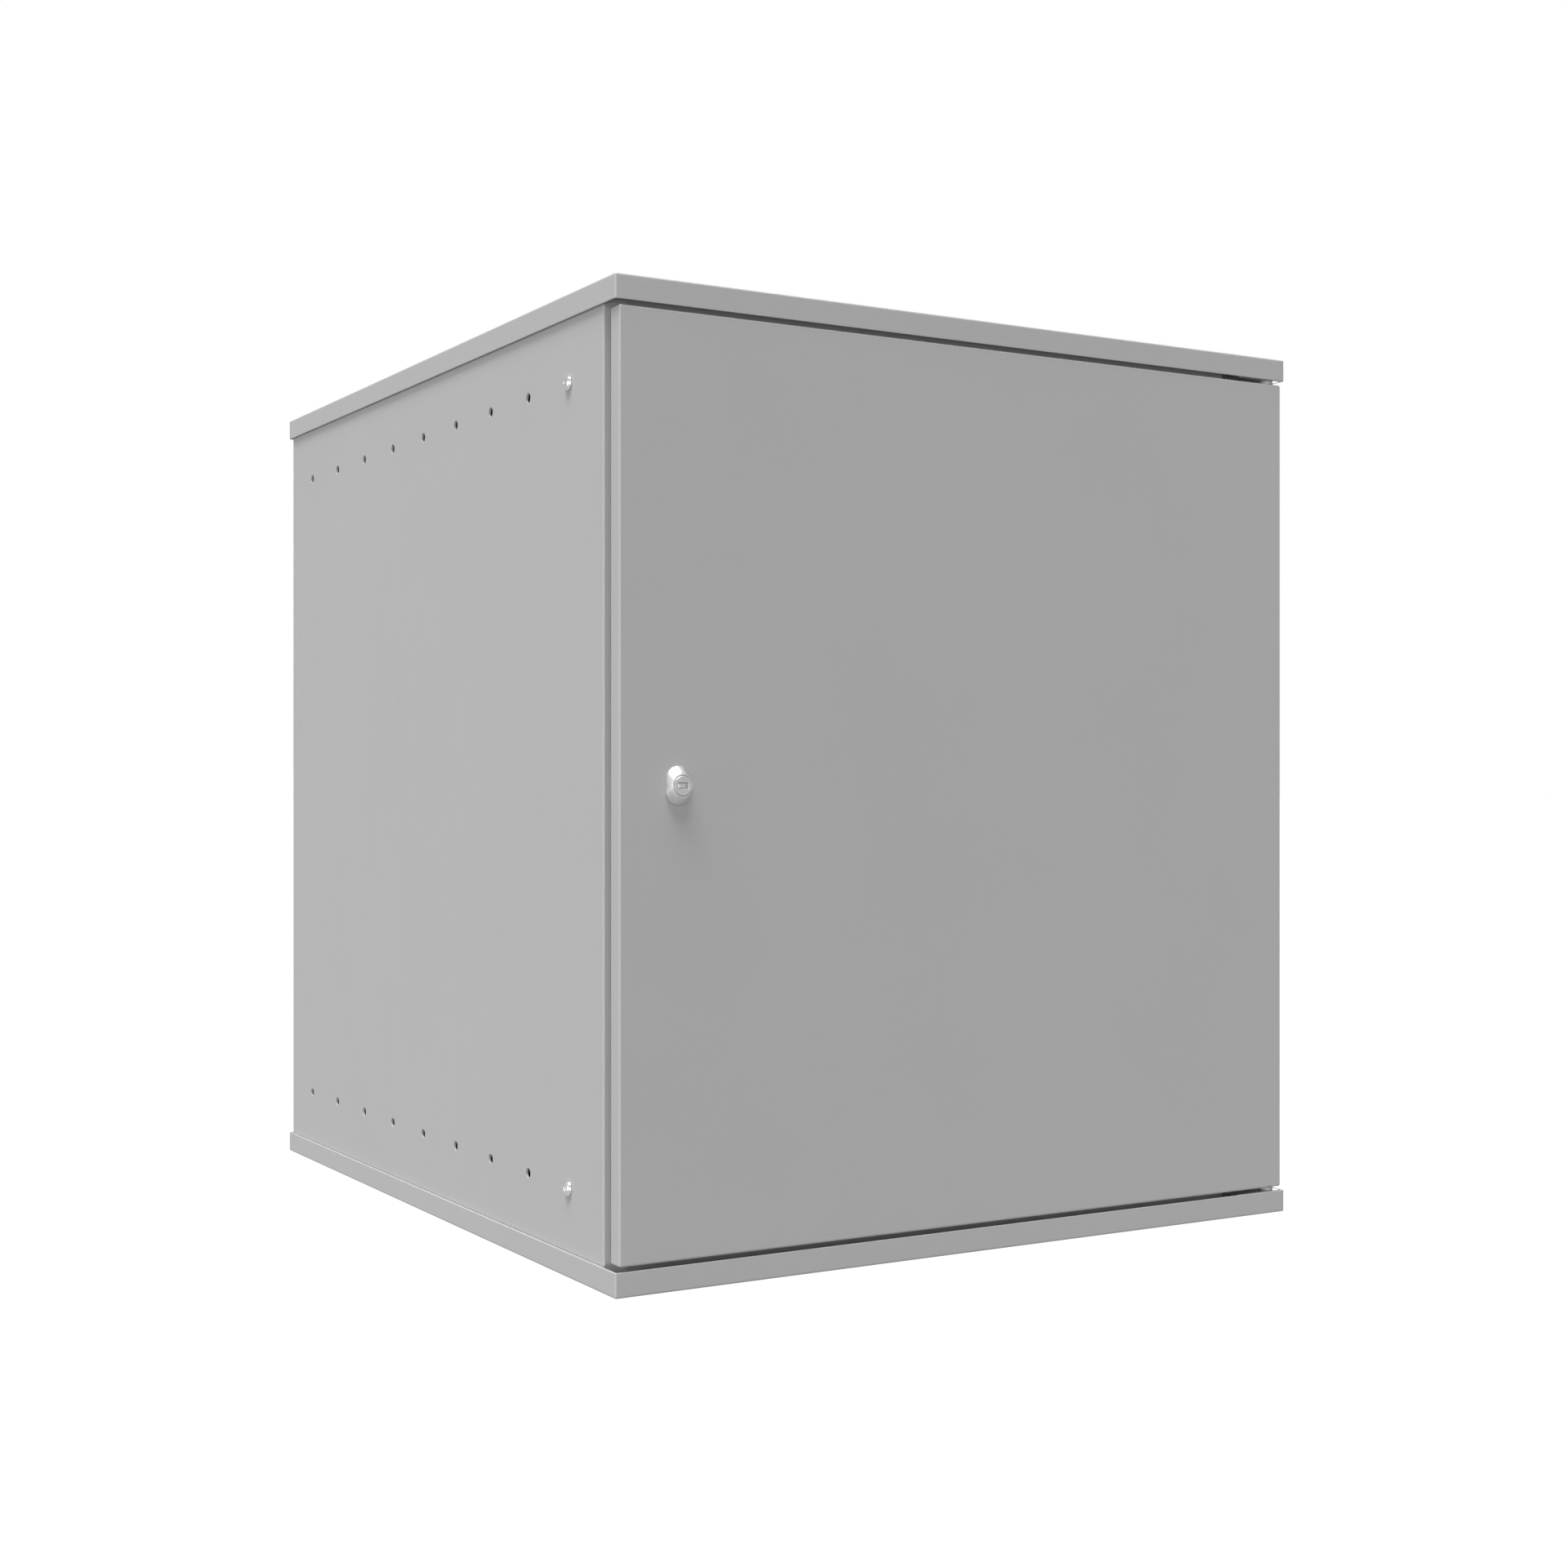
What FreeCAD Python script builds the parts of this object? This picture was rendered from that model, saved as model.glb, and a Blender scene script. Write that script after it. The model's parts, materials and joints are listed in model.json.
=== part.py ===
"""Wall cabinet for 19-inch electrical equipment, twelve units high.

Millimetres. +Z is up, the door faces -Y and +X is to the right as seen from the front.
The origin is at the middle of the base face.
"""

import FreeCAD, Part
import math
import os
import re
import Sketcher

os.makedirs("parts", exist_ok=True)
doc = FreeCAD.newDocument("cabinet")
sheet = doc.addObject("Spreadsheet::Sheet", "Sheet")

DIMENSIONS = {
    # Whole cabinet and its sheet steel
    "cap_width": 526,
    "cap_depth": 600,
    "cabinet_height": 600,
    "gauge": 1.5,
    "flange_drop": 15,
    "bend_radius": 1.2,
    "panel_inset": 2,
    "return_width": 18,
    "end_return_front": 25,
    "end_return_back": 7,
    "edge_chamfer": 0.6,
    # Door and front frame, set back from the front of the caps
    "door_setback": 0.5,
    "door_side_gap": 3,
    "door_end_gap": 3,
    "door_depth": 11.1,
    "frame_setback": 19.7,
    "front_return": 14.5,
    "opening_width": 484,
    "opening_height": 536,
    "lip_setback": 10.3,
    # Gasket and stiffener on the inside of the door
    "gasket_width": 10,
    "gasket_thick": 8,
    "stiffener_width": 60,
    "stiffener_depth": 9,
    "stiffener_flange": 10,
    "stiffener_height": 470,
    # Rows of fixing holes in the side panels
    "row_setback": 67.5,
    "row_pitch": 60,
    "row_count": 9,
    "row_spacing": 492,
    "row_hole": 6.4,
    # Mounting rails to the 19-inch standard
    "rail_setback": 50,
    "rail_gauge": 2,
    "rail_height": 540,
    "rail_opening": 450,
    "rail_flank": 35,
    "rail_lip": 10,
    "rack_span": 465.1,
    "rack_unit": 44.45,
    "rack_units": 12,
    "rack_hole": 9.5,
    "rack_hole_first": 6.35,
    "rack_hole_step": 15.875,
    # Hinges
    "hinge_inset_side": 11,
    "hinge_inset_front": 7,
    "pin_diameter": 5,
    "pin_clearance": 0.05,
    "pin_engagement": 8,
    "bracket_gauge": 2,
    "bracket_width": 37,
    "bracket_front": 2,
    "bracket_back": 17,
    "bracket_rise": 13.7,
    "bracket_stud_setback": 9,
    "bracket_stud_near": 9,
    "bracket_stud_far": 22,
    "bush_diameter": 7,
    "bush_flange": 10,
    "bush_flange_thick": 2.5,
    "knob_diameter": 7.6,
    "knob_height": 6,
    "knob_gap": 1,
    "clip_gap": 0.3,
    "clip_thick": 1,
    "guide_width": 9.5,
    "guide_depth": 9,
    "guide_drop": 27,
    "guide_thick": 4,
    "spring_wire": 0.8,
    "spring_diameter": 6.5,
    "spring_pitch": 2.5,
    "spring_gap": 0.1,
    # Lock
    "lock_inset": 42,
    "lock_width": 18,
    "lock_height": 24,
    "lock_proud": 6.2,
    "lock_taper": 2.6,
    "barrel_diameter": 16,
    "barrel_length": 22.5,
    "plug_diameter": 12,
    "plug_proud": 0.3,
    "plug_clearance": 0.05,
    "key_slot_width": 7,
    "key_slot_height": 3.6,
    "key_slot_depth": 6,
    "drive_square": 7,
    "cam_gauge": 2.5,
    "cam_width": 14,
    "cam_reach": 30,
    "cam_gap": 0.3,
    "lock_nut_flats": 20,
    "lock_nut_thick": 4,
    "cam_washer_thick": 1,
    # Fasteners
    "stud_diameter": 5,
    "stud_length": 11,
    "fixing_hole": 5.5,
    "head_diameter": 9.5,
    "head_height": 2.75,
    "low_head_height": 1.8,
    "head_socket": 3,
    "head_round": 0.8,
    "hexagon_corner": 0.57735,
    "screw_length": 12,
    "nut_flats": 8,
    "nut_thick": 4,
    "nut_flange": 11,
    "nut_flange_thick": 1.2,
    "nut_clearance": 0.05,
    "cap_stud_spacing": 160,
    "cap_stud_count": 4,
    # Wall fixing
    "wall_hole": 9,
    "wall_span_x": 400,
    "wall_span_z": 440,
    "wall_bar_height": 50,
    "wall_bar_gauge": 3,
    "wall_bar_gap": 1,
    # Gland plate over the cable entry in the base
    "entry_width": 300,
    "entry_depth": 100,
    "entry_centre": 200,
    "gland_border": 20,
    "gland_seal": 2,
    "gland_seal_step": 2,
    "gland_gauge": 2,
    # Earth studs
    "earth_diameter": 6,
    "earth_pitch_diameter": 5.35,
    "earth_length": 16,
    "earth_flats": 10,
    "earth_nut_thick": 5,
    "earth_washer": 12,
    "earth_washer_thick": 1.2,
    "washer_clearance": 0.2,
    "earth_inset_x": 38,
    "earth_inset_y": 70,
    "door_earth_height": 60,
}

for row, (alias, size) in enumerate(DIMENSIONS.items(), start=1):
    sheet.set(f"A{row}", alias)
    sheet.set(f"B{row}", str(size))
    sheet.setAlias(f"B{row}", alias)
doc.recompute()

X = FreeCAD.Vector(1, 0, 0)
Y = FreeCAD.Vector(0, 1, 0)
Z = FreeCAD.Vector(0, 0, 1)
nodes = []


# ---------------------------------------------------------------- expressions

def value(expression):
    """Return the size that an expression of sheet aliases gives."""
    return float(sheet.evalExpression(expression))


def bind(item, path, expression):
    """Bind a property of a document object to an expression of sheet aliases."""
    item.setExpression(path, re.sub(r"[a-z][a-z_]*", lambda word: "Sheet." + word.group(), expression))


def plus(*terms):
    """Return the sum of expressions as one expression."""
    return "(" + " + ".join(f"({term})" for term in terms) + ")"


def less(first, *others):
    """Return an expression with others taken away from the first."""
    return "(" + " - ".join([f"({first})"] + [f"({term})" for term in others]) + ")"


def minus(term):
    """Return the negative of an expression."""
    return f"(0 - ({term}))"


# ---------------------------------------------------------------- sketch outlines

def rectangle(left, right, low, high):
    """Return the outline of a rectangle from its four bounds."""
    return [(left, low), (right, low), (right, high), (left, high)]


def centred(width, height, across="0", along="0"):
    """Return the outline of a rectangle about a centre."""
    half_width = f"({width}) / 2"
    half_height = f"({height}) / 2"
    return rectangle(less(across, half_width), plus(across, half_width),
                     less(along, half_height), plus(along, half_height))


def circle(diameter, across="0", along="0"):
    """Return a circle as its diameter and centre."""
    return {"diameter": diameter, "centre": (across, along)}


def hexagon(flats, across="0", along="0"):
    """Return a hexagon with two corners on the horizontal, from its width across flats."""
    corner = f"({flats}) * hexagon_corner"
    half_corner = f"({corner}) / 2"
    half_flat = f"({flats}) / 2"
    steps = [(corner, "0"), (half_corner, half_flat), (minus(half_corner), half_flat),
             (minus(corner), "0"), (minus(half_corner), minus(half_flat)), (half_corner, minus(half_flat))]
    return [(plus(across, u), plus(along, v)) for u, v in steps]


def constrain_point(item, geometry, position, point):
    """Hold one sketch point at two expressions measured from the sketch's origin."""
    for kind, expression in zip(("DistanceX", "DistanceY"), point):
        constraint = Sketcher.Constraint(kind, -1, 1, geometry, position, value(expression))
        index = item.addConstraint(constraint)
        bind(item, f"Constraints[{index}]", expression)


def add_polygon(item, points):
    """Add a closed, fully constrained polygon to a sketch."""
    first = item.GeometryCount
    count = len(points)
    places = [FreeCAD.Vector(value(u), value(v), 0) for u, v in points]
    for index in range(count):
        item.addGeometry(Part.LineSegment(places[index], places[(index + 1) % count]))
    for index in range(count):
        following = first + (index + 1) % count
        item.addConstraint(Sketcher.Constraint("Coincident", first + index, 2, following, 1))
    for index, point in enumerate(points):
        constrain_point(item, first + index, 1, point)


def add_circle(item, outline):
    """Add a constrained circle to a sketch."""
    across, along = outline["centre"]
    diameter = outline["diameter"]
    centre = FreeCAD.Vector(value(across), value(along), 0)
    geometry = item.addGeometry(Part.Circle(centre, Z, value(diameter) / 2))
    constrain_point(item, geometry, 3, outline["centre"])
    index = item.addConstraint(Sketcher.Constraint("Diameter", geometry, value(diameter)))
    bind(item, f"Constraints[{index}]", diameter)


def add_sketch(body, plane, offset, outlines):
    """Add a sketch to a body, parallel to one of its origin planes."""
    item = body.newObject("Sketcher::SketchObject", "Sketch")
    support = next(f for f in body.Origin.OriginFeatures if f.Role == plane + "_Plane")
    item.AttachmentSupport = (support, [""])
    item.MapMode = "FlatFace"
    bind(item, "AttachmentOffset.Base.z", offset)
    for outline in outlines:
        if isinstance(outline, dict):
            add_circle(item, outline)
        else:
            add_polygon(item, outline)
    return item


# ---------------------------------------------------------------- body features

def new_body(label, node=True):
    """Start a PartDesign body; a node body is exported under its label."""
    body = doc.addObject("PartDesign::Body", label)
    body.Label = label
    if node:
        nodes.append(body)
    return body


def pad(body, plane, start, end, *outlines):
    """Add material between two positions along the axis that the plane faces."""
    offset = minus(end) if plane == "XZ" else start
    feature = body.newObject("PartDesign::Pad", "Pad")
    feature.Profile = add_sketch(body, plane, offset, outlines)
    bind(feature, "Length", less(end, start))
    doc.recompute()
    return feature


def pocket(body, plane, start, end, *outlines):
    """Cut material between two positions along the axis that the plane faces."""
    before = body.Shape.Volume
    offset = minus(start) if plane == "XZ" else end
    feature = body.newObject("PartDesign::Pocket", "Pocket")
    feature.Profile = add_sketch(body, plane, offset, outlines)
    bind(feature, "Length", less(end, start))
    doc.recompute()
    if body.Shape.Volume >= before:
        raise ValueError(f"a pocket in {body.Label} cuts nothing")
    return feature


def repeat(body, originals, axis_role, pitch, count):
    """Repeat cuts in a straight line along one of the body's origin axes."""
    before = body.Shape.Volume
    pattern = body.newObject("PartDesign::LinearPattern", "LinearPattern")
    pattern.Originals = originals
    axis = next(f for f in body.Origin.OriginFeatures if f.Role == axis_role)
    pattern.Direction = (axis, [""])
    pattern.Mode = "Spacing"
    bind(pattern, "Offset", pitch)
    bind(pattern, "Occurrences", count)
    body.Tip = pattern
    doc.recompute()
    if body.Shape.Volume >= before:
        raise ValueError(f"a pattern in {body.Label} cuts nothing")
    return pattern


def edge_names(shape, chosen):
    """Return the names of the edges of a shape that a test picks."""
    return [f"Edge{index}" for index, edge in enumerate(shape.Edges, start=1) if chosen(edge)]


def soften(body, radius, chosen, kind="Fillet"):
    """Round or chamfer the edges that a test picks."""
    base = body.Tip
    names = edge_names(base.Shape, chosen)
    feature = body.newObject(f"PartDesign::{kind}", kind)
    feature.Base = (base, names)
    bind(feature, "Radius" if kind == "Fillet" else "Size", radius)
    doc.recompute()
    return feature


def lies_at(**planes):
    """Return a test for edges that lie wholly at the given x, y or z positions."""
    def test(edge):
        box = edge.BoundBox
        spans = {"x": (box.XMin, box.XMax), "y": (box.YMin, box.YMax), "z": (box.ZMin, box.ZMax)}
        return all(any(max(abs(low - place), abs(high - place)) < 0.01 for place in places)
                   for low, high, places in ((*spans[axis], planes[axis]) for axis in planes))
    return test


def either(*tests):
    """Return a test that passes an edge if any of the given tests does."""
    return lambda edge: any(test(edge) for test in tests)


# ---------------------------------------------------------------- places on the cabinet

SIDES = (-1, 1)
STUD_ROWS = (-1.5, -0.5, 0.5, 1.5)
CAP_SIDE = "cap_width / 2"
FRONT = minus("cap_depth / 2")
BACK = "cap_depth / 2"
MIDDLE = "cabinet_height / 2"
CAP_INSIDE_LOW = "gauge"
CAP_INSIDE_HIGH = less("cabinet_height", "gauge")

PANEL_OUT = less(CAP_SIDE, "panel_inset")
PANEL_IN = less(PANEL_OUT, "gauge")
PANEL_BACK = less(BACK, "panel_inset")
FRAME_FACE = plus(FRONT, "frame_setback")
FRAME_BACK = plus(FRAME_FACE, "gauge * 2")

DOOR_SIDE = less(CAP_SIDE, "door_side_gap")
DOOR_LOW = plus("flange_drop", "door_end_gap")
DOOR_HIGH = less("cabinet_height", DOOR_LOW)
DOOR_FACE = plus(FRONT, "door_setback")
DOOR_INSIDE = plus(DOOR_FACE, "gauge")
DOOR_BACK = plus(DOOR_FACE, "door_depth")

HINGE_X = less(CAP_SIDE, "hinge_inset_side")
HINGE_Y = plus(FRONT, "hinge_inset_front")
LOCK_X = minus(less(CAP_SIDE, "lock_inset"))
ROW_LOW = less(MIDDLE, "row_spacing / 2")
ROW_HIGH = plus(MIDDLE, "row_spacing / 2")
ROW_FRONT = plus(FRONT, "row_setback")

RETURN_IN = less(PANEL_IN, "return_width")
CAP_STUD_X = less(PANEL_IN, "return_width / 2")
BRACKET_FRONT = plus(FRONT, "bracket_front")
BRACKET_BACK = plus(FRONT, "bracket_back")
BRACKET_STUD_Y = plus(FRONT, "bracket_stud_setback")


# ---------------------------------------------------------------- caps and panels

def make_cap(label, top):
    """Make a shallow tray with a flange all round; the base tray has the cable entry."""
    body = new_body(label)
    side = value(CAP_SIDE)
    back = value(BACK)
    outer = centred("cap_width", "cap_depth")
    inner = centred("cap_width - 2 * gauge", "cap_depth - 2 * gauge")
    if top:
        rim = less("cabinet_height", "flange_drop")
        pad(body, "XY", rim, "cabinet_height", outer)
        pocket(body, "XY", rim, CAP_INSIDE_HIGH, inner)
        face = value("cabinet_height")
    else:
        pad(body, "XY", "0", "flange_drop", outer)
        pocket(body, "XY", CAP_INSIDE_LOW, "flange_drop", inner)
        pocket(body, "XY", "0", "gauge", centred("entry_width", "entry_depth", "0", "entry_centre"))
        face = 0
    corners = lies_at(x=(-side, side), y=(-back, back))
    rims = either(lies_at(x=(-side, side), z=(face,)), lies_at(y=(-back, back), z=(face,)))
    soften(body, "bend_radius", either(corners, rims))


def make_side_panel(label, sign):
    """Make a side panel: a web with four returns and two rows of fixing holes."""
    def across(expression):
        return expression if sign > 0 else minus(expression)

    def strip(first, second, low, high):
        ends = (first, second) if sign > 0 else (second, first)
        return rectangle(across(ends[0]), across(ends[1]), low, high)

    body = new_body(label)
    front_return_in = less(PANEL_IN, "front_return")
    profile = [
        (PANEL_OUT, FRAME_FACE), (PANEL_OUT, less(PANEL_BACK, "gauge")),
        (RETURN_IN, less(PANEL_BACK, "gauge")), (RETURN_IN, less(PANEL_BACK, "2 * gauge")),
        (PANEL_IN, less(PANEL_BACK, "2 * gauge")), (PANEL_IN, plus(FRAME_FACE, "gauge")),
        (front_return_in, plus(FRAME_FACE, "gauge")), (front_return_in, FRAME_FACE),
    ]
    pad(body, "XY", CAP_INSIDE_LOW, CAP_INSIDE_HIGH, [(across(u), v) for u, v in profile])
    flat = strip(RETURN_IN, PANEL_OUT, plus(FRONT, "end_return_front"), less(BACK, "end_return_back"))
    pad(body, "XY", CAP_INSIDE_LOW, plus(CAP_INSIDE_LOW, "gauge"), flat)
    pad(body, "XY", less(CAP_INSIDE_HIGH, "gauge"), CAP_INSIDE_HIGH, flat)

    holes = [circle("row_hole", ROW_FRONT, height) for height in (ROW_LOW, ROW_HIGH)]
    ends = (PANEL_IN, PANEL_OUT) if sign > 0 else (minus(PANEL_OUT), minus(PANEL_IN))
    first = pocket(body, "YZ", *ends, *holes)
    repeat(body, [first], "Y_Axis", "row_pitch", "row_count")

    first_stud = minus("cap_stud_spacing * (cap_stud_count - 1) / 2")
    stud_hole = circle("fixing_hole", across(CAP_STUD_X), first_stud)
    first = pocket(body, "XY", "0", "cabinet_height", stud_hole)
    repeat(body, [first], "Y_Axis", "cap_stud_spacing", "cap_stud_count")

    rear_holes = [circle("fixing_hole", across(CAP_STUD_X), plus(MIDDLE, f"{row} * cap_stud_spacing"))
                  for row in STUD_ROWS]
    pocket(body, "XZ", less(PANEL_BACK, "2 * gauge"), less(PANEL_BACK, "gauge"), *rear_holes)

    outside = sign * value(PANEL_OUT)
    bends = (value(FRAME_FACE), value(less(PANEL_BACK, "gauge")))
    soften(body, "bend_radius", lies_at(x=(outside,), y=bends))


def make_rear_panel():
    """Make the flat rear panel with its wall-fixing holes."""
    body = new_body("rear_panel")
    start = less(PANEL_BACK, "gauge")
    pad(body, "XZ", start, PANEL_BACK,
        rectangle(minus(PANEL_IN), PANEL_IN, CAP_INSIDE_LOW, CAP_INSIDE_HIGH))
    wall_holes = [circle("wall_hole", f"{side} * wall_span_x / 2", plus(MIDDLE, f"{end} * wall_span_z / 2"))
                  for side in SIDES for end in (-1, 1)]
    fixing_holes = [circle("fixing_hole", f"{side} * {CAP_STUD_X}", plus(MIDDLE, f"{row} * cap_stud_spacing"))
                    for side in SIDES for row in STUD_ROWS]
    pocket(body, "XZ", start, PANEL_BACK, *wall_holes, *fixing_holes)


def make_wall_bar(label, end):
    """Make a bar that backs the rear panel at two wall-fixing holes."""
    body = new_body(label)
    height = plus(MIDDLE, f"{end} * wall_span_z / 2")
    stop = less(PANEL_BACK, "gauge")
    start = less(stop, "wall_bar_gauge")
    pad(body, "XZ", start, stop, centred(f"2 * ({RETURN_IN} - wall_bar_gap)", "wall_bar_height", "0", height))
    pocket(body, "XZ", start, stop, *[circle("wall_hole", f"{side} * wall_span_x / 2", height)
                                      for side in (-1, 1)])


def make_front_frame():
    """Make the frame behind the door: a flat ring with a lip turned towards the door."""
    body = new_body("front_frame")
    start = plus(FRAME_FACE, "gauge")
    lip = plus(FRONT, "lip_setback")
    pad(body, "XZ", start, FRAME_BACK,
        rectangle(minus(PANEL_IN), PANEL_IN, CAP_INSIDE_LOW, CAP_INSIDE_HIGH))
    pad(body, "XZ", lip, FRAME_BACK,
        centred("opening_width + 2 * gauge", "opening_height + 2 * gauge", "0", MIDDLE))
    pocket(body, "XZ", lip, FRAME_BACK, centred("opening_width", "opening_height", "0", MIDDLE))


make_cap("top_cap", True)
make_cap("bottom_cap", False)
make_side_panel("left_side_panel", -1)
make_side_panel("right_side_panel", 1)
make_rear_panel()
make_wall_bar("upper_wall_bar", 1)
make_wall_bar("lower_wall_bar", -1)
make_front_frame()


# ---------------------------------------------------------------- mounting rails

def make_rail(label, sign):
    """Make a mounting rail: a face with square holes, a flank on the side panel and a stiffening lip."""
    def across(expression):
        return expression if sign > 0 else minus(expression)

    body = new_body(label)
    face = plus(FRONT, "rail_setback")
    face_back = plus(face, "rail_gauge")
    inner = "rail_opening / 2"
    profile = [
        (PANEL_IN, face), (PANEL_IN, plus(face, "rail_flank")),
        (less(PANEL_IN, "rail_gauge"), plus(face, "rail_flank")), (less(PANEL_IN, "rail_gauge"), face_back),
        (plus(inner, "rail_gauge"), face_back), (plus(inner, "rail_gauge"), plus(face, "rail_lip")),
        (inner, plus(face, "rail_lip")), (inner, face),
    ]
    low = less(MIDDLE, "rail_height / 2")
    high = plus(MIDDLE, "rail_height / 2")
    pad(body, "XY", low, high, [(across(u), v) for u, v in profile])

    lowest_hole = plus(less(MIDDLE, "rack_units * rack_unit / 2"), "rack_hole_first")
    squares = [centred("rack_hole", "rack_hole", across("rack_span / 2"),
                       plus(lowest_hole, f"{step} * rack_hole_step")) for step in range(3)]
    first = pocket(body, "XZ", face, face_back, *squares)
    repeat(body, [first], "Z_Axis", "rack_unit", "rack_units")

    ends = (less(PANEL_IN, "rail_gauge"), PANEL_IN)
    flank = ends if sign > 0 else (minus(ends[1]), minus(ends[0]))
    pocket(body, "YZ", *flank, *[circle("fixing_hole", ROW_FRONT, height) for height in (ROW_LOW, ROW_HIGH)])
    corners = (sign * value(PANEL_IN), sign * value(inner))
    soften(body, "bend_radius", lies_at(x=corners, y=(value(face),)))


make_rail("left_rail", -1)
make_rail("right_rail", 1)


# ---------------------------------------------------------------- fasteners

def make_screw(label, head):
    """Make a button-head screw: axis on Z, bearing face at zero, shank downwards."""
    body = new_body(label, node=False)
    pad(body, "XY", "0", head, circle("head_diameter"))
    soften(body, f"{head} * head_round", lies_at(z=(value(head),)))
    pocket(body, "XY", f"{head} / 2", head, hexagon("head_socket"))
    pad(body, "XY", minus("screw_length"), "0", circle("stud_diameter"))
    soften(body, "edge_chamfer", lies_at(z=(-value("screw_length"),)), "Chamfer")
    return body


def make_nut(label, flats, thick, bore, flange=None):
    """Make a hexagon nut, with a flange if one is given: axis on Z, bearing face at zero."""
    body = new_body(label, node=False)
    if flange:
        pad(body, "XY", "0", "nut_flange_thick", circle(flange))
        pad(body, "XY", "nut_flange_thick", thick, hexagon(flats))
    else:
        pad(body, "XY", "0", thick, hexagon(flats))
    pocket(body, "XY", "0", thick, circle(bore))
    return body


def make_stud(label, diameter, length):
    """Make a weld stud: axis on Z, welded face at zero."""
    body = new_body(label, node=False)
    pad(body, "XY", "0", length, circle(diameter))
    soften(body, "edge_chamfer", lies_at(z=(value(length),)), "Chamfer")
    return body


def make_earth_stud(label):
    """Make an earth stud, at its thread's pitch diameter as far as the nut holds it: welded face at zero."""
    held = "earth_washer_thick + earth_nut_thick"
    body = new_body(label, node=False)
    pad(body, "XY", "0", "earth_length", circle("earth_pitch_diameter"))
    pad(body, "XY", held, "earth_length", circle("earth_diameter"))
    soften(body, "edge_chamfer", lies_at(z=(value("earth_length"),)), "Chamfer")
    return body


def make_washer(label, outer, thick, bore):
    """Make a flat washer on Z with its lower face at zero."""
    body = new_body(label, node=False)
    pad(body, "XY", "0", thick, circle(outer))
    pocket(body, "XY", "0", thick, circle(bore))
    return body


def place(item, base, direction):
    """Put an object's origin at three expressions, with its Z axis along a direction."""
    item.Placement = FreeCAD.Placement(FreeCAD.Vector(), FreeCAD.Rotation(Z, direction))
    for axis, expression in zip("xyz", base):
        bind(item, f"Placement.Base.{axis}", expression)


def make_group(label, places):
    """Make one node of several placed copies; places lists (master, base, direction)."""
    links = []
    for number, (master, base, direction) in enumerate(places, start=1):
        link = doc.addObject("App::Link", f"{label}_{number}")
        link.LinkedObject = master
        place(link, base, direction)
        links.append(link)
    group = doc.addObject("Part::Compound", label)
    group.Label = label
    group.Links = links
    nodes.append(group)


button_screw = make_screw("button_screw", "head_height")
low_screw = make_screw("low_screw", "low_head_height")
flange_nut = make_nut("flange_nut", "nut_flats", "nut_thick",
                      "stud_diameter + 2 * nut_clearance", "nut_flange")
weld_stud = make_stud("weld_stud", "stud_diameter", "stud_length")
earth_stud = make_earth_stud("earth_stud")
earth_nut = make_nut("earth_nut", "earth_flats", "earth_nut_thick", "earth_pitch_diameter + 2 * nut_clearance")
earth_washer = make_washer("earth_washer", "earth_washer", "earth_washer_thick",
                           "earth_diameter + 2 * washer_clearance")

rail_places = [(side, height) for side in SIDES for height in (ROW_LOW, ROW_HIGH)]
RAIL_FLANK = less(PANEL_IN, "rail_gauge")
make_group("rail_screws", [(button_screw, (f"{side} * {PANEL_OUT}", ROW_FRONT, height), X * side)
                           for side, height in rail_places])
make_group("rail_nuts", [(flange_nut, (f"{side} * {RAIL_FLANK}", ROW_FRONT, height), X * -side)
                         for side, height in rail_places])

corner_places = [(f"{side} * {CAP_STUD_X}", f"{row} * cap_stud_spacing")
                 for side in SIDES for row in STUD_ROWS]
bracket_places = [(less(HINGE_X, distance), BRACKET_STUD_Y)
                  for distance in ("bracket_stud_near", "bracket_stud_far")]
for name, face, step, direction in (("top", CAP_INSIDE_HIGH, less, -Z), ("bottom", CAP_INSIDE_LOW, plus, Z)):
    make_group(f"{name}_cap_studs", [(weld_stud, (u, v, face), direction)
                                     for u, v in corner_places + bracket_places])
    make_group(f"{name}_cap_nuts",
               [(flange_nut, (u, v, step(face, "gauge")), direction) for u, v in corner_places]
               + [(flange_nut, (u, v, step(face, "bracket_gauge")), direction) for u, v in bracket_places])

rear_places = [(f"{side} * {CAP_STUD_X}", plus(MIDDLE, f"{row} * cap_stud_spacing"))
               for side in SIDES for row in STUD_ROWS]
REAR_RETURN = less(PANEL_BACK, "2 * gauge")
make_group("rear_panel_screws", [(low_screw, (u, PANEL_BACK, w), Y) for u, w in rear_places])
make_group("rear_panel_nuts", [(flange_nut, (u, REAR_RETURN, w), -Y) for u, w in rear_places])


# ---------------------------------------------------------------- gland plate in the base

GLAND_WIDTH = "entry_width + 2 * gland_border"
GLAND_DEPTH = "entry_depth + 2 * gland_border"
GLAND_LOW = plus(CAP_INSIDE_LOW, "gland_seal")
GLAND_HIGH = plus(GLAND_LOW, "gland_gauge")
gland_places = [(f"{column} * (entry_width + gland_border) / 2",
                 plus("entry_centre", f"{row} * (entry_depth + gland_border) / 2"))
                for row in SIDES for column in (-1, "-1 / 3", "1 / 3", 1)]
gland_holes = [circle("fixing_hole", u, v) for u, v in gland_places]

gland_seal = new_body("gland_seal")
pad(gland_seal, "XY", CAP_INSIDE_LOW, GLAND_LOW, centred(GLAND_WIDTH, GLAND_DEPTH, "0", "entry_centre"))
seal_hole = centred("entry_width + 2 * gland_seal_step", "entry_depth + 2 * gland_seal_step",
                    "0", "entry_centre")
pocket(gland_seal, "XY", CAP_INSIDE_LOW, GLAND_LOW, seal_hole, *gland_holes)

gland_plate = new_body("gland_plate")
pad(gland_plate, "XY", GLAND_LOW, GLAND_HIGH, centred(GLAND_WIDTH, GLAND_DEPTH, "0", "entry_centre"))
pocket(gland_plate, "XY", GLAND_LOW, GLAND_HIGH, *gland_holes)

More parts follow.
